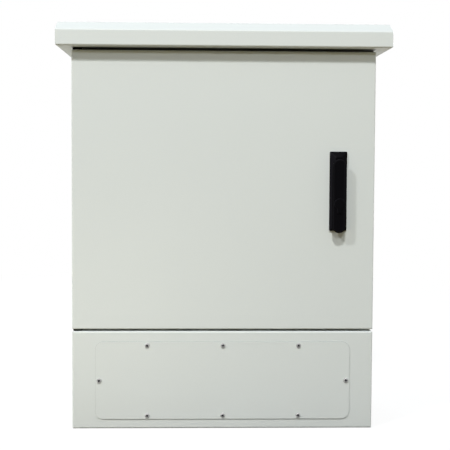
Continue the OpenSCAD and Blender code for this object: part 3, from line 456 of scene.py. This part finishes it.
# Nodes that get their coat after they are fitted
COATED_OVER = {"lever_pin": "black_zinc"}


# Modelling steps


def start(add, name, **settings):
    """Add a primitive at its size and place, alone in the selection, with its place in its mesh."""
    bpy.ops.object.select_all(action="DESELECT")
    add(**settings)
    piece = bpy.context.object
    piece.name = name
    piece.data.name = name
    bpy.ops.object.transform_apply(location=True, rotation=True, scale=True)
    return piece


def block(name, low, high):
    """A cube primitive between two corners."""
    low, high = Vector(low), Vector(high)
    return start(bpy.ops.mesh.primitive_cube_add, name, size=1, location=(low + high) / 2, scale=high - low)


def rod(name, end, direction, depth, radius, sides=48):
    """A cylinder primitive from one end along a direction."""
    direction = Vector(direction)
    turn = UP.rotation_difference(direction).to_euler()
    middle = Vector(end) + direction * depth / 2
    return start(bpy.ops.mesh.primitive_cylinder_add, name, vertices=sides, radius=radius, depth=depth,
                 location=middle, rotation=turn)


def edit(piece):
    """Open a piece in edit mode, alone."""
    bpy.ops.object.select_all(action="DESELECT")
    piece.select_set(True)
    bpy.context.view_layer.objects.active = piece
    bpy.ops.object.mode_set(mode="EDIT")


def close():
    """Leave edit mode."""
    bpy.ops.object.mode_set(mode="OBJECT")


def pick(piece, kind, test):
    """Select the faces or edges of a piece in edit mode that pass a test."""
    bpy.ops.mesh.select_mode(type=kind)
    bpy.ops.mesh.select_all(action="DESELECT")
    mesh = bmesh.from_edit_mesh(piece.data)
    for element in mesh.faces if kind == "FACE" else mesh.edges:
        if test(element):
            element.select_set(True)
    bmesh.update_edit_mesh(piece.data)


def faces_towards(direction):
    """A test for faces that look in a direction."""
    return lambda face: face.normal.dot(direction) > ALIGNED


def edges_along(direction):
    """A test for edges that run in a direction."""
    def test(edge):
        run = edge.verts[1].co - edge.verts[0].co
        return abs(run.normalized().dot(direction)) > ALIGNED
    return test


def edges_at(axis, place):
    """A test for edges that lie in a plane across an axis."""
    return lambda edge: all(abs(vertex.co[axis] - place) < NEAR for vertex in edge.verts)


def is_sharp(edge):
    """Whether the faces on both sides of an edge meet at a sharp angle."""
    return edge.calc_face_angle(0) > SHARP_ANGLE


def modify(piece, kind, **settings):
    """Add a modifier to a piece and apply it."""
    modifier = piece.modifiers.new(kind.title(), kind)
    for key, value in settings.items():
        setattr(modifier, key, value)
    bpy.ops.object.select_all(action="DESELECT")
    piece.select_set(True)
    bpy.context.view_layer.objects.active = piece
    bpy.ops.object.modifier_apply(modifier=modifier.name)


def join_or_cut(piece, operation, *tools):
    """Add tool shapes to a piece, or cut them out of it, and remove them."""
    for tool in tools:
        modify(piece, "BOOLEAN", object=tool, operation=operation, solver="EXACT")
        bpy.data.meshes.remove(tool.data)


def ring_block(name, low, high, axis, width):
    """A block with a wide opening along an axis, so that a ring of one width is left."""
    ring = block(name, low, high)
    edit(ring)
    pick(ring, "FACE", lambda face: abs(face.normal[axis]) > ALIGNED)
    bpy.ops.mesh.inset(thickness=width, use_individual=True)
    bpy.ops.mesh.bridge_edge_loops()
    bpy.ops.mesh.select_all(action="SELECT")
    bpy.ops.mesh.normals_make_consistent(inside=False)
    close()
    return ring


def copied(piece, name, move):
    """A copy of a piece with its own mesh, moved there."""
    twin = piece.copy()
    twin.data = piece.data.copy()
    twin.name = name
    twin.data.name = name
    twin.data.transform(move)
    bpy.context.collection.objects.link(twin)
    return twin


def fit(piece, node, stands_for=True, finish=None):
    """Give a finished piece its finish and smooth shading, and fix it in the frame where a node is."""
    slot = NODE_SLOTS[node]
    piece.data.materials.clear()
    piece.data.materials.append(FINISHES[finish or slot])
    bpy.ops.object.select_all(action="DESELECT")
    piece.select_set(True)
    bpy.context.view_layer.objects.active = piece
    bpy.ops.object.shade_smooth_by_angle(angle=SMOOTH_ANGLE)
    modify(piece, "WEIGHTED_NORMAL", keep_sharp=True)
    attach(piece, frame["nodes"][node]["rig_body"])
    if stands_for:
        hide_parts(node)


def middle_of(node):
    """The middle of a node's box."""
    low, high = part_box(node)
    return (low + high) / 2


def spindle_axis():
    """A point on the axis that the handle turns about."""
    return next(Vector(joint["pos_m"]) for joint in frame["joints"] if joint["name"] == "handle_turn")


def mark(piece, name, level_of):
    """Write each face's level of painted shade or painted highlight into an attribute that the finishes
    read.
    """
    marks = piece.data.color_attributes.new(name, "FLOAT_COLOR", "CORNER")
    for face in piece.data.polygons:
        level = level_of(face)
        for corner in face.loop_indices:
            marks.data[corner].color = (level, level, level, 1)


def lit_slope_highlights(left, top, rest):
    """Painted highlight on a casting's sloped faces, for the light that falls on its left, at its top and
    on the rest.
    """
    def level(face):
        if not SLOPED < -face.normal.y < FLAT:
            return 0
        if face.normal.x < -SLOPED:
            return left
        return top if face.normal.z > SLOPED else rest
    return level


# Pieces


class CabinetStep:
    """What the cabinet's operators share."""

    bl_options = {"REGISTER", "UNDO"}


class CABINET_OT_finishes(CabinetStep, bpy.types.Operator):
    """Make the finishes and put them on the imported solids"""

    bl_idname = "cabinet.finishes"
    bl_label = "Coat the solids"

    def execute(self, context):
        colours = context.scene.cabinet_colours
        for slot, make in FINISH_MAKERS.items():
            FINISHES[slot] = make(colours)
        for name, node in frame["nodes"].items():
            node.data.materials.clear()
            node.data.materials.append(FINISHES[COATED_OVER.get(name, NODE_SLOTS[name])])
        return {"FINISHED"}


# Radii of the dust cover's rivet hole, pressed in the lever and running in the cover
RIVET_BORE = 1.52 * MM
RIVET_HOLE = 1.55 * MM


class CABINET_OT_handle_base(CabinetStep, bpy.types.Operator):
    """Model the cast base of the swing handle"""

    bl_idname = "cabinet.handle_base"
    bl_label = "Handle base"

    def execute(self, context):
        sizes = context.scene.cabinet_sizes
        low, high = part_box("handle_base")
        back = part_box("handle_seal")[0].y
        wall = back - sizes.base_wall
        base = block("handle_base_casting", (low.x, wall, low.z), (high.x, back, high.z))
        edit(base)
        pick(base, "FACE", faces_towards(FRONT))
        bpy.ops.mesh.extrude_region_move(TRANSFORM_OT_translate={"value": (0, low.y - wall, 0)})
        across = 1 - 2 * sizes.base_slope / (high.x - low.x)
        along = 1 - 2 * sizes.base_slope / (high.z - low.z)
        middle = (low + high) / 2
        bpy.ops.transform.resize(value=(across, 1, along), center_override=(middle.x, low.y, middle.z))
        past_wall = sizes.base_wall * 1.1
        pick(base, "EDGE", lambda edge: abs(edge.verts[0].co.y - edge.verts[1].co.y) > past_wall)
        bpy.ops.mesh.bevel(offset=sizes.base_hip, segments=3, affect="EDGES")
        pick(base, "EDGE", lambda edge: edges_at(Y, low.y)(edge) or edges_at(Y, wall)(edge))
        bpy.ops.mesh.bevel(offset=sizes.cast_edge, segments=3, affect="EDGES")
        close()
        outline = block("base_outline", (low.x, low.y - MM, low.z), (high.x, back, high.z))
        edit(outline)
        pick(outline, "EDGE", edges_along(BACK))
        bpy.ops.mesh.bevel(offset=sizes.base_corner, segments=8, affect="EDGES")
        close()
        join_or_cut(base, "INTERSECT", outline)
        axis = spindle_axis()
        reach = high.y - low.y
        neck_radius = 10 * MM
        bore_radius = 7.05 * MM
        neck = rod("neck", (axis.x, back - MM, axis.z), BACK, high.y - back + MM, neck_radius)
        join_or_cut(base, "UNION", neck)
        bore = rod("bore", (axis.x, low.y - MM, axis.z), BACK, reach + 2 * MM, bore_radius)
        join_or_cut(base, "DIFFERENCE", bore)
        # Painted highlights on the base's slopes, strongest on the left where the light falls
        mark(base, PAINTED_HIGHLIGHT, lit_slope_highlights(left=0.6, top=0.15, rest=0.05))
        fit(base, "handle_base")
        return {"FINISHED"}


class CABINET_OT_handle_lever(CabinetStep, bpy.types.Operator):
    """Model the lever of the swing handle"""

    bl_idname = "cabinet.handle_lever"
    bl_label = "Handle lever"

    def execute(self, context):
        sizes = context.scene.cabinet_sizes
        low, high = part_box("handle_lever")
        face_margin = 0.9 * MM
        dish_slope = 0.8 * MM
        lever = block("handle_lever_casting", low, high)
        edit(lever)
        pick(lever, "EDGE", edges_along(BACK))
        bpy.ops.mesh.bevel(offset=(high.x - low.x) / 2, segments=24, affect="EDGES", clamp_overlap=True)
        bpy.ops.mesh.select_all(action="SELECT")
        bpy.ops.mesh.remove_doubles(threshold=NEAR)
        pick(lever, "EDGE", edges_at(Y, low.y))
        bpy.ops.mesh.bevel(offset=sizes.lever_rim, segments=6, affect="EDGES")
        pick(lever, "EDGE", edges_at(Y, high.y))
        bpy.ops.mesh.bevel(offset=sizes.cast_edge, segments=3, affect="EDGES")
        pick(lever, "FACE", faces_towards(FRONT))
        bpy.ops.mesh.inset(thickness=face_margin)
        bpy.ops.mesh.inset(thickness=dish_slope, depth=-sizes.lever_dish)
        close()
        join_or_cut(lever, "DIFFERENCE", *self.cuts(low, high))
        # Painted shade on the lever's side walls, which stand in the light; painted highlights on its rim
        # slopes at the left and top
        mark(lever, PAINTED_SHADE, lambda face: 1 if abs(face.normal.y) < STEEP else 0)
        mark(lever, PAINTED_HIGHLIGHT, lit_slope_highlights(left=0.4, top=0.45, rest=0.05))
        fit(lever, "handle_lever")
        return {"FINISHED"}

    def cuts(self, low, high):
        """The lever's pocket for the spindle's tang, its pin hole and the bores for the lock."""
        pin = middle_of("lever_pin")
        key_low, key_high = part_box("key_cylinder")
        key = (key_low + key_high) / 2
        rivet = middle_of("dust_rivet")
        width = high.x - low.x
        half = 5.4 * MM
        pocket_radius = 4.9 * MM
        drop = 15.3 * MM
        relief = 4.2 * MM
        lift = math.radians(45)
        pin_hole_radius = 2.02 * MM
        key_clearance = 0.05 * MM
        rivet_depth = 7 * MM
        pocket = block("pocket", (pin.x - half, pin.y - pocket_radius, pin.z - drop),
                       (pin.x + half, high.y + MM, pin.z))
        round_end = rod("pocket_end", (pin.x - half, pin.y, pin.z), RIGHT, 2 * half, pocket_radius)
        slope = block("slope", (-width, relief, -width), (width, relief + width, width))
        slope.data.transform(Matrix.Translation(pin) @ Matrix.Rotation(lift, 4, "X"))
        hole = rod("pin_hole", (pin.x - width, pin.y, pin.z), RIGHT, 2 * width, pin_hole_radius)
        key_radius = (key_high.x - key_low.x) / 2 + key_clearance
        key_bore = rod("key_bore", (key.x, low.y - MM, key.z), BACK, key_high.y - low.y + MM, key_radius)
        rivet_bore = rod("rivet_bore", (rivet.x, low.y - MM, rivet.z), BACK, rivet_depth, RIVET_BORE)
        return pocket, round_end, slope, hole, key_bore, rivet_bore


class CABINET_OT_dust_cover(CabinetStep, bpy.types.Operator):
    """Model the swinging cover over the key cylinder"""

    bl_idname = "cabinet.dust_cover"
    bl_label = "Dust cover"

    def execute(self, context):
        sizes = context.scene.cabinet_sizes
        low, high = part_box("dust_cover")
        rivet = middle_of("dust_rivet")
        radius = (high.x - low.x) / 2
        tail_radius = rivet.z - low.z
        depth = high.y - low.y
        middle = Vector((rivet.x, high.y, high.z - radius))
        half = tail_radius * 0.85
        cover = rod("dust_cover_plate", middle, FRONT, depth, radius, sides=64)
        tail = rod("tail", (rivet.x, high.y, rivet.z), FRONT, depth, tail_radius, sides=40)
        neck = block("tail_neck", (rivet.x - half, low.y, rivet.z), (rivet.x + half, high.y, middle.z))
        for shape in (cover, tail, neck):
            edit(shape)
            pick(shape, "EDGE", edges_at(Y, low.y))
            bpy.ops.mesh.bevel(offset=sizes.cover_edge, segments=3, affect="EDGES")
            close()
        join_or_cut(cover, "UNION", tail, neck)
        hole = rod("rivet_hole", (rivet.x, low.y - MM, rivet.z), BACK, depth + 2 * MM, RIVET_HOLE)
        join_or_cut(cover, "DIFFERENCE", hole)
        # Painted highlights on the cover's left and top edges, where the lamps catch them
        mark(cover, PAINTED_HIGHLIGHT, lit_slope_highlights(left=1, top=1, rest=0))
        fit(cover, "dust_cover")
        return {"FINISHED"}


class CABINET_OT_key_cylinder(CabinetStep, bpy.types.Operator):
    """Model the lock's key cylinder with its sunk face and keyway"""

    bl_idname = "cabinet.key_cylinder"
    bl_label = "Key cylinder"

    def execute(self, context):
        sizes = context.scene.cabinet_sizes
        low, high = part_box("key_cylinder")
        middle = (low + high) / 2
        radius = (high.x - low.x) / 2
        depth = high.y - low.y
        rim = radius * 0.16
        sink = sizes.keyway * 0.25
        cylinder = rod("key_cylinder_plug", (middle.x, high.y, middle.z), FRONT, depth, radius, sides=64)
        edit(cylinder)
        pick(cylinder, "EDGE", edges_at(Y, low.y))
        bpy.ops.mesh.bevel(offset=sizes.cast_edge, segments=3, affect="EDGES")
        pick(cylinder, "FACE", faces_towards(FRONT))
        bpy.ops.mesh.inset(thickness=rim)
        bpy.ops.mesh.inset(thickness=sink, depth=-sink)
        close()
        half = Vector((sizes.keyway / 2, 0, radius * 0.6))
        floor = Vector((0, depth * 0.7, 0))
        front = Vector((middle.x, low.y, middle.z))
        keyway = block("keyway", front - half - Vector((0, MM, 0)), front + half + floor)
        join_or_cut(cylinder, "DIFFERENCE", keyway)

        def in_keyway(face):
            away = face.center - front
            within = abs(away.x) < sizes.keyway * 0.6 and abs(away.z) < radius * 0.65
            return 1 if within and 0 < away.y < depth * 0.75 and face.area < radius * depth else 0

        # The keyway is darkened with painted shade
        mark(cylinder, PAINTED_SHADE, in_keyway)
        fit(cylinder, "key_cylinder", finish="screw")
        return {"FINISHED"}


class CABINET_OT_plinth_cover(CabinetStep, bpy.types.Operator):
    """Model the plinth's front cover with its rounded edge"""

    bl_idname = "cabinet.plinth_cover"
    bl_label = "Plinth cover"

    def execute(self, context):
        sizes = context.scene.cabinet_sizes
        low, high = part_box("plinth_cover")
        cover = block("plinth_cover_plate", low, high)
        edit(cover)
        pick(cover, "EDGE", edges_along(BACK))
        bpy.ops.mesh.bevel(offset=sizes.plate_corner, segments=12, affect="EDGES")
        pick(cover, "EDGE", edges_at(Y, low.y))
        bpy.ops.mesh.bevel(offset=sizes.plate_edge, segments=4, affect="EDGES")
        close()
        # Painted shade on all but the front faces, darkening the plate's edges
        mark(cover, PAINTED_SHADE, lambda face: 0 if face.normal.y < -FACING else 1)
        fit(cover, "plinth_cover")
        return {"FINISHED"}


def pan_screw(name, head_radius, head_height, shank_length):
    """A pan head screw at the origin, its head upwards, with a cross recess in its crown darkened by
    painted shade.
    """
    crown = head_height * 0.72
    shoulder = head_radius * 0.5
    screw = rod(name, (0, 0, 0), UP, head_height, head_radius)
    edit(screw)
    pick(screw, "EDGE", edges_at(Z, head_height))
    bpy.ops.mesh.bevel(offset=crown, segments=6, affect="EDGES")
    pick(screw, "FACE", faces_towards(-UP))
    bpy.ops.mesh.inset(thickness=shoulder)
    bpy.ops.mesh.extrude_region_move(TRANSFORM_OT_translate={"value": (0, 0, -shank_length)})
    close()
    reach = head_radius * 0.66
    breadth = head_radius * 0.26
    bottom = head_height * 0.3
    taper = (0.6, 0.8, 1)
    for turn in (0, 1):
        arm = block("recess", (-reach, -breadth, bottom), (reach, breadth, head_height * 1.2))
        edit(arm)
        pick(arm, "FACE", faces_towards(-UP))
        bpy.ops.transform.resize(value=taper, center_override=(0, 0, 0))
        close()
        arm.data.transform(Matrix.Rotation(QUARTER_TURN * turn, 4, "Z"))
        join_or_cut(screw, "DIFFERENCE", arm)

    def inside_recess(face):
        if not 0 < face.center.z < head_height or face.center.xy.length > reach * 1.05:
            return 0
        return 1 if abs(face.normal.z) < STEEP or face.center.z < head_height / 2 else 0

    # Painted shade: the recess walls and floor are marked to be darkened
    mark(screw, PAINTED_SHADE, inside_recess)
    return screw


def place_screws(screw, node, direction, places, first_turn, next_turn=0):
    """Copy a screw to its places on a node, facing a direction, each turned some degrees further on."""
    aim = UP.rotation_difference(direction).to_matrix().to_4x4()
    for index, spot in enumerate(places):
        turn = math.radians(first_turn + next_turn * index)
        move = Matrix.Translation(spot) @ aim @ Matrix.Rotation(turn, 4, "Z")
        twin = copied(screw, f"{node}_{index + 1}", move)
        fit(twin, node, stands_for=index == 0, finish="screw")


class CABINET_OT_screws(CabinetStep, bpy.types.Operator):
    """Model the pan head screws of the plinth cover, the roof and the gland plate"""

    bl_idname = "cabinet.screws"
    bl_label = "Pan head screws"

    def execute(self, context):
        sizes = context.scene.cabinet_sizes
        small = sizes.small_head / 2
        self.cover_screws(small, sizes.cover_pitch)
        medium = sizes.medium_head / 2
        self.roof_screws(medium)
        self.gland_screws(medium)
        return {"FINISHED"}

    def cover_screws(self, head, pitch):
        """Three screws above and below, and one at each end."""
        low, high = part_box("plinth_cover_screws")
        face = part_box("plinth_cover")[0].y
        middle = (low + high) / 2
        rows = (low.z + head, high.z - head)
        places = [Vector((step * pitch, face, row)) for row in rows for step in (-1, 0, 1)]
        places += [Vector((x, face, middle.z)) for x in (low.x + head, high.x - head)]
        screw = pan_screw("small_screw", head, face - low.y, high.y - face)
        place_screws(screw, "plinth_cover_screws", FRONT, places, first_turn=20, next_turn=37)
        bpy.data.meshes.remove(screw.data)

    def roof_screws(self, head):
        """One screw in each end wall of the roof."""
        low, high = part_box("roof_side_screws")
        roof_low, roof_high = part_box("roof")
        middle = (low + high) / 2
        shank = 10 * MM
        screw = pan_screw("medium_screw", head, high.x - roof_high.x, shank)
        right_end = Vector((roof_high.x, middle.y, middle.z))
        place_screws(screw, "roof_side_screws", RIGHT, [right_end], first_turn=15)
        move = Matrix.Translation((roof_low.x, middle.y, middle.z)) @ Matrix.Rotation(-QUARTER_TURN, 4, "Y")
        fit(copied(screw, "roof_side_screws_2", move), "roof_side_screws", stands_for=False, finish="screw")
        bpy.data.meshes.remove(screw.data)

    def gland_screws(self, head):
        """Two rows of three screws."""
        low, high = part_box("gland_screws")
        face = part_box("gland_plate")[1].z
        places = [Vector((x, y, face)) for x in (low.x + head, 0, high.x - head)
                  for y in (low.y + head, high.y - head)]
        screw = pan_screw("medium_screw", head, high.z - face, face - low.z)
        place_screws(screw, "gland_screws", UP, places, first_turn=11, next_turn=53)
        bpy.data.meshes.remove(screw.data)


class CABINET_OT_door_seal(CabinetStep, bpy.types.Operator):
    """Model the foamed seal inside the door"""

    bl_idname = "cabinet.door_seal"
    bl_label = "Door seal"

    def execute(self, context):
        sizes = context.scene.cabinet_sizes
        low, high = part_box("door_seal")
        width = sizes.seal_width
        outer_corner = width * 0.48
        inner_corner = width * 0.24
        bulge = width * 0.42
        seal = ring_block("foamed_door_seal", low, high, Y, width)
        edit(seal)
        inside = high.x - width / 2
        pick(seal, "EDGE", lambda edge: edges_along(BACK)(edge) and abs(edge.verts[0].co.x) > inside)
        bpy.ops.mesh.bevel(offset=outer_corner, segments=8, affect="EDGES")
        pick(seal, "EDGE", lambda edge: edges_along(BACK)(edge) and abs(edge.verts[0].co.x) < inside
             and edge.calc_face_angle(0) > math.radians(45))
        bpy.ops.mesh.bevel(offset=inner_corner, segments=6, affect="EDGES")
        pick(seal, "EDGE", lambda edge: edges_at(Y, high.y)(edge)
             and any(abs(face.normal.y) < UPRIGHT for face in edge.link_faces))
        bpy.ops.mesh.bevel(offset=bulge, segments=6, affect="EDGES")
        close()
        fit(seal, "door_seal")
        return {"FINISHED"}


class CABINET_OT_gaskets(CabinetStep, bpy.types.Operator):
    """Model the flat gaskets under the gland plate and the handle"""

    bl_idname = "cabinet.gaskets"
    bl_label = "Gaskets"

    def execute(self, context):
        sizes = context.scene.cabinet_sizes
        low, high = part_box("gland_seal")
        ring = ring_block("gland_gasket", low, high, Z, sizes.gasket_overlap)
        self.soften(ring, UP, sizes.gasket_overlap / 3, (high.z - low.z) * 0.3)
        fit(ring, "gland_seal")
        low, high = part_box("handle_seal")
        pad = block("handle_gasket", low, high)
        self.soften(pad, BACK, sizes.base_corner, (high.y - low.y) * 0.3)
        fit(pad, "handle_seal")
        return {"FINISHED"}

    def soften(self, gasket, across, corner, edge):
        """Round a gasket's corners, then its other edges."""
        edit(gasket)
        pick(gasket, "EDGE", lambda side: is_sharp(side) and edges_along(across)(side))
        bpy.ops.mesh.bevel(offset=corner, segments=6, affect="EDGES")
        pick(gasket, "EDGE", lambda side: is_sharp(side) and not edges_along(across)(side))
        bpy.ops.mesh.bevel(offset=edge, segments=3, affect="EDGES")
        close()


class CABINET_OT_grommets(CabinetStep, bpy.types.Operator):
    """Model the rubber membrane grommets in the gland plate"""

    bl_idname = "cabinet.grommets"
    bl_label = "Cable grommets"

    def execute(self, context):
        bead = context.scene.cabinet_sizes.grommet_bead
        low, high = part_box("cable_grommets")
        plate_low, plate_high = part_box("gland_plate")
        radius = (high.y - low.y) / 2
        groove = radius - bead
        plate = plate_high.z - plate_low.z
        play = 0.1 * MM
        collar = ((groove - play, 0), (groove - play, plate), (radius, 0), (radius - 0.4 * bead, bead))
        dip = ((groove - 1.3 * bead, 0), (groove - 2 * bead, -0.85 * bead), (groove * 0.72, -0.1 * bead))
        rings = ((groove * 0.7, 0.25 * bead), (groove * 0.5, 0), (groove * 0.48, 0.25 * bead),
                 (groove * 0.24, 0), (groove * 0.2, 0.2 * bead))
        underside = ((groove - 1.3 * bead, 0), (groove - 2 * bead, bead))
        grommet = rod("grommet", (0, 0, -bead), UP, bead, radius, sides=64)
        edit(grommet)
        for way, profile in ((UP, collar + dip + rings), (-UP, underside)):
            pick(grommet, "FACE", faces_towards(way))
            for step_radius, rise in profile:
                self.step(step_radius, rise)
        rim = groove - 2.5 * bead
        pick(grommet, "EDGE", lambda edge: is_sharp(edge) and edge.verts[0].co.xy.length > rim)
        bpy.ops.mesh.bevel(offset=0.14 * bead, segments=3, affect="EDGES")
        close()
        middle = (low + high) / 2
        for index, x in enumerate((low.x + radius, middle.x, high.x - radius)):
            move = Matrix.Translation((x, middle.y, plate_low.z))
            fit(copied(grommet, f"grommet_{index + 1}", move), "cable_grommets", stands_for=index == 0)
        bpy.data.meshes.remove(grommet.data)
        return {"FINISHED"}

    def step(self, radius, rise):
        """Extrude the selected round face to another radius and height."""
        mesh = bmesh.from_edit_mesh(bpy.context.object.data)
        now = max(vertex.co.xy.length for vertex in mesh.verts if vertex.select)
        bpy.ops.mesh.extrude_region_move(TRANSFORM_OT_translate={"value": (0, 0, rise)})
        share = radius / now
        bpy.ops.transform.resize(value=(share, share, 1), center_override=(0, 0, 0))


# Stage

CAMERA_PLACE = Vector((-0.0557, -2.0877, 0.538))
CAMERA_YAW = math.radians(1.721)
CAMERA_PITCH = math.radians(-3.000)
CAMERA_ROLL = math.radians(0.303)
CAMERA_LENS = 78.58
SENSOR = 36
CAMERA_SHIFT = -0.0308
FLOOR_SIZE = 60
FLOOR_FADE = 2.5
AIM = Vector((0, -0.144, 0.42))
LOW_AIM = Vector((-0.2, -0.144, 0.05))
FILL_SPREAD = math.radians(45)
WHITE = (1, 1, 1, 1)
FLOOR_SEEN = (0.9, 0.9, 0.9, 1)
FLOOR_NEAR = (0.045, 0.036, 0.02)
FLOOR_FAR = (0.23, 0.18, 0.08)
SKY = (0.91, 0.98, 1.03, 1)
SKY_LOW = 0.03
SKY_RISE = 0.6


class CABINET_OT_stage(CabinetStep, bpy.types.Operator):
    """Set up the floor, the lamps, the surroundings and the camera"""

    bl_idname = "cabinet.stage"
    bl_label = "Stage"

    def execute(self, context):
        lamps = context.scene.cabinet_lamps
        self.floor()
        self.surroundings(context.scene)
        self.lamp("key_lamp", (-0.35, -5.17, 6.2), lamps.key, size=0.55, tint=(1.0, 0.995, 0.985))
        self.lamp("side_lamp", (-2.385, -2.66, 3.2), lamps.side, size=0.37, tint=(1.0, 0.995, 0.985))
        self.lamp("front_lamp", (-0.1, -6.0, 3.44), lamps.front, size=0.12, tint=(0.96, 0.99, 1.0))
        self.lamp("fill_lamp", (-0.75, -1.2, 0.12), lamps.fill, size=0.6, tint=(1.0, 0.92, 0.74),
                  aim=LOW_AIM, spread=FILL_SPREAD)
        self.lamp("left_lamp", (-2.2, 0.5, 0.3), lamps.sides, size=0.8, tint=(1.0, 1.0, 0.95))
        self.lamp("right_lamp", (2.2, 0.5, 0.3), lamps.sides, size=0.8, tint=(1.0, 0.97, 0.97))
        self.lamp("rear_lamp", (-0.6, 3.0, 1.4), lamps.rear, size=1.8, tint=(0.97, 1.0, 1.0))
        self.camera(context.scene)
        context.scene.view_settings.view_transform = "Standard"
        return {"FINISHED"}

    def lamp(self, name, place, watts, size, tint, aim=AIM, spread=math.pi):
        """A round area lamp that faces the cabinet, mirrored in it only where it stands in front."""
        data = bpy.data.lights.new(name, "AREA")
        data.shape = "DISK"
        data.size = size
        data.energy = watts
        data.color = tint
        data.spread = spread
        made = bpy.data.objects.new(name, data)
        bpy.context.collection.objects.link(made)
        made.location = place
        made.rotation_euler = (aim - Vector(place)).to_track_quat("-Z", "Y").to_euler()
        made.visible_camera = False
        made.visible_glossy = place[Y] < 0

    def camera(self, scene):
        """The camera that took the photograph, as well as it could be found."""
        data = bpy.data.cameras.new("camera")
        data.sensor_width = SENSOR
        data.shift_y = CAMERA_SHIFT
        data.lens = CAMERA_LENS
        made = bpy.data.objects.new("camera", data)
        bpy.context.collection.objects.link(made)
        turn = Matrix.Rotation(-CAMERA_YAW, 4, "Z") @ Matrix.Rotation(QUARTER_TURN + CAMERA_PITCH, 4, "X")
        made.matrix_world = Matrix.Translation(CAMERA_PLACE) @ turn @ Matrix.Rotation(CAMERA_ROLL, 4, "Z")
        scene.camera = made

    def seen_directly(self, made):
        """A share that is 1 for rays from the camera, a mirror or glass, and 0 for bounced light."""
        direct = made.node("ShaderNodeLightPath", {}, {}, "Is Camera Ray")
        mirrored = made.node("ShaderNodeLightPath", {}, {}, "Is Glossy Ray")
        through = made.node("ShaderNodeLightPath", {}, {}, "Is Transmission Ray")
        return made.node("ShaderNodeMath", {"operation": "MAXIMUM"}, {0: direct + mirrored, 1: through})

    def floor(self):
        """A plain floor: white with the cabinet's shadow to the eye, warm grey in the light it throws,
        darker near the cabinet as painted shade.
        """
        floor = start(bpy.ops.mesh.primitive_plane_add, "floor", size=FLOOR_SIZE)
        edit(floor)
        bpy.ops.mesh.subdivide(number_cuts=3)
        close()
        made = Finish("floor")
        away = made.node("ShaderNodeVectorMath", {"operation": "LENGTH"}, {0: made.place()}, "Value")
        white = made.node("ShaderNodeBsdfDiffuse", {}, {"Color": FLOOR_SEEN})
        glow = made.node("ShaderNodeEmission", {}, {"Color": WHITE, "Strength": 1.0})
        share = made.ramp(away / FLOOR_FADE, (0.1, 0.78), (1, 1))
        shown = made.node("ShaderNodeMixShader", {}, {0: share, 1: white, 2: glow})
        # The light the floor throws is darker near the cabinet: painted contact shade on the plinth's foot
        tone = made.mix(made.ramp(away, (0.2, 0), (0.9, 1)), FLOOR_NEAR, FLOOR_FAR)
        warm = made.node("ShaderNodeBsdfDiffuse", {}, {"Color": tone})
        mixed = made.node("ShaderNodeMixShader", {}, {0: self.seen_directly(made), 1: warm, 2: shown})
        made.tree.nodes.remove(made.shader)
        made.feed(made.output, {"Surface": mixed})
        floor.data.materials.append(made.material)

    def surroundings(self, scene):
        """White to the eye, and a soft cool light from all round."""
        scene.world = bpy.data.worlds.new("surroundings")
        made = Nodes(scene.world)
        output = made.tree.nodes.new("ShaderNodeOutputWorld")
        heading = made.node("ShaderNodeTexCoord", {}, {}, "Generated")
        height = made.node("ShaderNodeSeparateXYZ", {}, {0: heading}, "Z")
        above = made.node("ShaderNodeMath", {"operation": "MAXIMUM"}, {0: height, 1: 0.0})
        level = SKY_LOW + SKY_RISE * above
        soft = made.node("ShaderNodeBackground", {}, {"Color": SKY, "Strength": level})
        white = made.node("ShaderNodeBackground", {}, {"Color": WHITE, "Strength": 1.0})
        mixed = made.node("ShaderNodeMixShader", {}, {0: self.seen_directly(made), 1: soft, 2: white})
        made.feed(output, {"Surface": mixed})


# Panel, registering and the whole run


class CABINET_PT_panel(bpy.types.Panel):
    """The cabinet's settings and steps in the sidebar"""

    bl_idname = "CABINET_PT_panel"
    bl_label = "Cabinet"
    bl_space_type = "VIEW_3D"
    bl_region_type = "UI"
    bl_category = "Cabinet"

    def draw(self, context):
        scene = context.scene
        for group in (scene.cabinet_colours, scene.cabinet_sizes, scene.cabinet_lamps):
            box = self.layout.box()
            for key in group.__annotations__:
                box.prop(group, key)
        for step in STEPS:
            self.layout.operator(step.bl_idname)


STEPS = (
    CABINET_OT_stage,
    CABINET_OT_finishes,
    CABINET_OT_handle_base,
    CABINET_OT_handle_lever,
    CABINET_OT_dust_cover,
    CABINET_OT_key_cylinder,
    CABINET_OT_plinth_cover,
    CABINET_OT_screws,
    CABINET_OT_door_seal,
    CABINET_OT_gaskets,
    CABINET_OT_grommets,
)
GROUPS = {
    "cabinet_colours": CabinetColours,
    "cabinet_sizes": CabinetSizes,
    "cabinet_lamps": CabinetLamps,
}


def register():
    """Add the settings, the steps and the panel."""
    for group in GROUPS.values():
        bpy.utils.register_class(group)
    for name, group in GROUPS.items():
        setattr(bpy.types.Scene, name, bpy.props.PointerProperty(type=group))
    for step in STEPS:
        bpy.utils.register_class(step)
    bpy.utils.register_class(CABINET_PT_panel)


def unregister():
    """Take away what register added."""
    bpy.utils.unregister_class(CABINET_PT_panel)
    for step in reversed(STEPS):
        bpy.utils.unregister_class(step)
    for name in GROUPS:
        delattr(bpy.types.Scene, name)
    for group in reversed(GROUPS.values()):
        bpy.utils.unregister_class(group)


def main():
    """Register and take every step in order."""
    register()
    bpy.ops.cabinet.stage()
    bpy.ops.cabinet.finishes()
    bpy.ops.cabinet.handle_base()
    bpy.ops.cabinet.handle_lever()
    bpy.ops.cabinet.dust_cover()
    bpy.ops.cabinet.key_cylinder()
    bpy.ops.cabinet.plinth_cover()
    bpy.ops.cabinet.screws()
    bpy.ops.cabinet.door_seal()
    bpy.ops.cabinet.gaskets()
    bpy.ops.cabinet.grommets()


if __name__ == "__main__":
    main()
